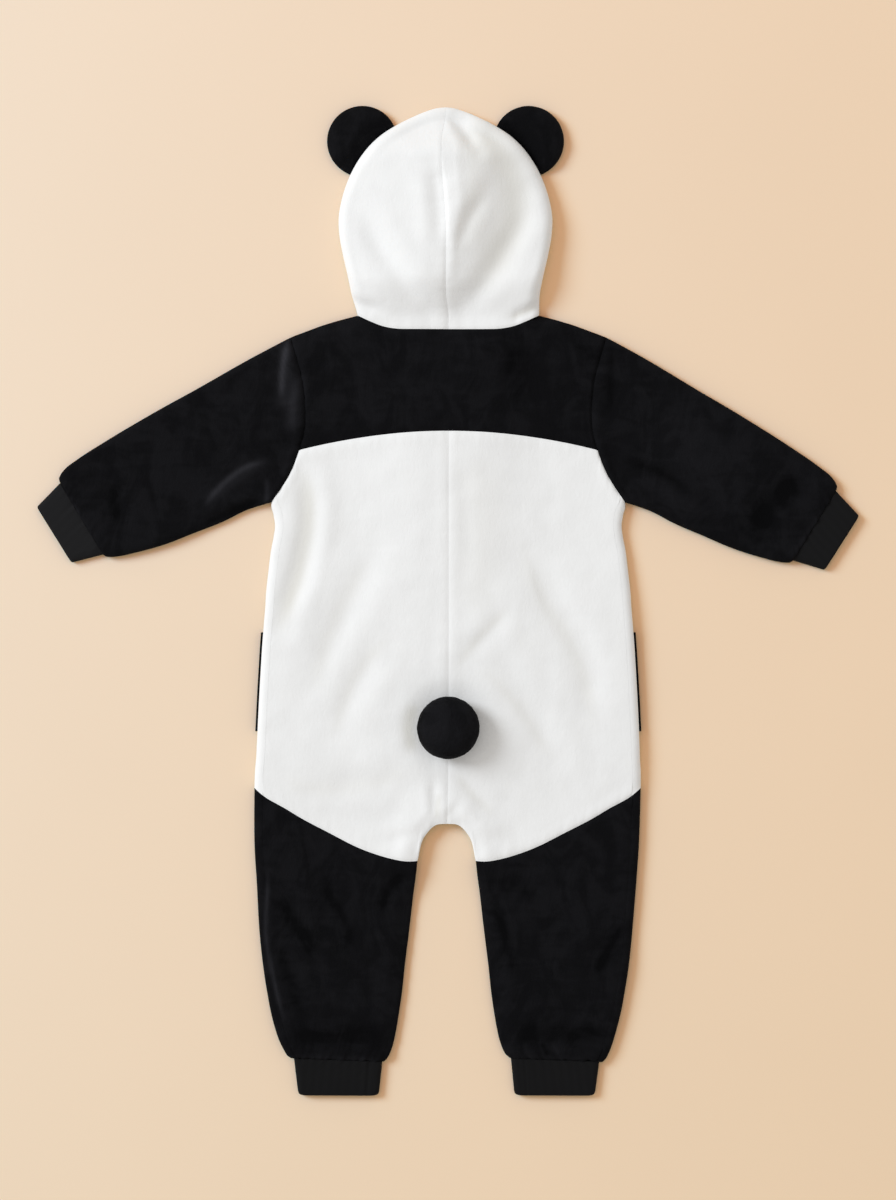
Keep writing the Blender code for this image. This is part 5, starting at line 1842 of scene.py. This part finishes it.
class ONESIE_OT_ears(OnesieOperator, bpy.types.Operator):
    """Stuff the two ears and tuck them behind the hood"""

    bl_idname = "onesie.ears"
    bl_label = "Ears"

    def execute(self, context):
        for label, side in SIDES:
            ear = make_ear(f"ear_{label}_plush", side, cloths()["black"])
            declare(ear, [f"ear_{label}"])
        return {"FINISHED"}


class ONESIE_OT_yokes(OnesieOperator, bpy.types.Operator):
    """Sew the black yoke over the shoulders and its two front parts"""

    bl_idname = "onesie.yokes"
    bl_label = "Yokes"

    def execute(self, context):
        black = cloths()["black"]
        for label, side in SIDES:
            front, sheet = make_front_yoke(f"front_yoke_{label}_plush", side, black)
            declare(front, [f"front_yoke_{label}"], sheet)
        back, sheet = make_back_yoke("back_yoke_plush", black)
        declare(back, ["back_yoke"], sheet)
        return {"FINISHED"}


class ONESIE_OT_body(OnesieOperator, bpy.types.Operator):
    """Sew the white back and front panels"""

    bl_idname = "onesie.body"
    bl_label = "Body"

    def execute(self, context):
        white = cloths()["white"]
        for label, side in SIDES:
            front, sheet = make_front(f"front_{label}_plush", side, white)
            declare(front, [f"front_{label}"], sheet)
            back, sheet = make_back(f"back_{label}_plush", side, white)
            declare(back, [f"back_{label}"], sheet)
        return {"FINISHED"}


class ONESIE_OT_sleeves(OnesieOperator, bpy.types.Operator):
    """Sew the sleeves, each one tube with its seam under the arm"""

    bl_idname = "onesie.sleeves"
    bl_label = "Sleeves"

    def execute(self, context):
        for label, side in SIDES:
            sleeve, sheet = make_sleeve(f"sleeve_{label}_plush", side, cloths()["black"])
            declare(sleeve, [f"sleeve_{label}"], sheet)
        return {"FINISHED"}


class ONESIE_OT_legs(OnesieOperator, bpy.types.Operator):
    """Sew the back and front of both legs"""

    bl_idname = "onesie.legs"
    bl_label = "Legs"

    def execute(self, context):
        black = cloths()["black"]
        for label, side in SIDES:
            front, sheet = make_front_leg(f"front_leg_{label}_plush", side, black)
            declare(front, [f"front_leg_{label}"], sheet)
            back, sheet = make_back_leg(f"back_leg_{label}_plush", side, black)
            declare(back, [f"back_leg_{label}"], sheet)
        return {"FINISHED"}


class ONESIE_OT_cuffs(OnesieOperator, bpy.types.Operator):
    """Knit the four cuffs"""

    bl_idname = "onesie.cuffs"
    bl_label = "Cuffs"

    def execute(self, context):
        knit = cloths()["knit"]
        for label, side in SIDES:
            for kind, make in (("sleeve", make_sleeve_cuff), ("leg", make_leg_cuff)):
                made, sheet = make(f"{kind}_cuff_{label}_knit", side, knit)
                declare(made, [f"{kind}_cuff_{label}"], sheet)
        return {"FINISHED"}


class ONESIE_OT_pockets(OnesieOperator, bpy.types.Operator):
    """Sew the patch pockets into the side seams"""

    bl_idname = "onesie.pockets"
    bl_label = "Pockets"

    def execute(self, context):
        finish = cloths()
        for label, side in SIDES:
            pocket, sheet = make_pocket(f"pocket_{label}_plush", side, finish["black"])
            lines = [[(side * x, y) for x, y in line] for line in pocket_stitch_lines()]
            stitches = stitch_rows(
                f"pocket_stitches_{label}",
                lines,
                lambda p: low(p[:1], p[1:])[0] - POCKET_LIFT + 0.1,
                finish["black_thread"],
            )
            sew_on(stitches)
            declare(pocket, [f"pocket_{label}"], sheet)
        return {"FINISHED"}


class ONESIE_OT_placket(OnesieOperator, bpy.types.Operator):
    """Sew the button placket and its buttons"""

    bl_idname = "onesie.placket"
    bl_label = "Placket and buttons"

    def execute(self, context):
        finish = cloths()
        placket, sheet = make_placket("placket_plush", finish["white"])
        top, foot = FRONT_NECK_CURVE[8, 1] - 4, PLACKET_BOTTOM_Y + PLACKET_TOPSTITCH
        edge, bar = PLACKET_HALF - PLACKET_TOPSTITCH, PLACKET_BOTTOM_Y + PLACKET_BAR
        lines = [[(-edge, top), (-edge, foot), (edge, foot), (edge, top)], [(-edge, bar), (edge, bar)]]
        stitches = stitch_rows(
            "placket_stitches", lines, lambda p: BUTTON_HEIGHT + LAYER_GAP + 0.1, finish["white_thread"]
        )
        sew_on(stitches)
        declare(placket, ["placket"], sheet)
        for index in range(BUTTON_COUNT):
            button = make_button(f"button_{index + 1}_plastic", index, finish["plastic"])
            y = button_y(index)
            cross = [[(-1.6, y - 1.6), (1.6, y + 1.6)], [(-1.6, y + 1.6), (1.6, y - 1.6)]]
            sewing = stitch_rows(
                f"button_{index + 1}_thread", cross, lambda p: 0.62, finish["black_thread"], 4.5, 4.4, 0.32
            )
            sew_on(sewing)
            declare(button, [f"button_{index + 1}"])
        return {"FINISHED"}


class ONESIE_OT_tail(OnesieOperator, bpy.types.Operator):
    """Stuff the ball tail and stitch it to the middle seam of the back"""

    bl_idname = "onesie.tail"
    bl_label = "Tail"

    def execute(self, context):
        tail = make_tail("tail_plush", cloths()["black"])
        declare(tail, ["tail"])
        return {"FINISHED"}


OPERATORS = (
    ONESIE_OT_stage,
    ONESIE_OT_yokes,
    ONESIE_OT_body,
    ONESIE_OT_hood,
    ONESIE_OT_ears,
    ONESIE_OT_sleeves,
    ONESIE_OT_legs,
    ONESIE_OT_cuffs,
    ONESIE_OT_pockets,
    ONESIE_OT_placket,
    ONESIE_OT_tail,
)
SETTINGS = (
    ("onesie_cloth", OnesieCloth),
    ("onesie_folds", OnesieFolds),
    ("onesie_stage", OnesieStage),
)


class ONESIE_PT_panel(bpy.types.Panel):
    bl_idname = "ONESIE_PT_panel"
    bl_label = "Panda Onesie"
    bl_space_type = "VIEW_3D"
    bl_region_type = "UI"
    bl_category = "Onesie"

    def draw(self, context):
        for name, group in SETTINGS:
            box = self.layout.box()
            for key in group.__annotations__:
                box.prop(getattr(context.scene, name), key)
        for operator in OPERATORS:
            self.layout.operator(operator.bl_idname)


def register():
    for made in (*[group for _, group in SETTINGS], *OPERATORS, ONESIE_PT_panel):
        bpy.utils.register_class(made)
    for name, group in SETTINGS:
        setattr(bpy.types.Scene, name, PointerProperty(type=group))


def unregister():
    for name, _ in SETTINGS:
        delattr(bpy.types.Scene, name)
    for made in (ONESIE_PT_panel, *reversed(OPERATORS), *[group for _, group in SETTINGS]):
        bpy.utils.unregister_class(made)


def main():
    register()
    for operator in OPERATORS:
        group, name = operator.bl_idname.split(".")
        getattr(getattr(bpy.ops, group), name)()


if __name__ == "__main__":
    main()
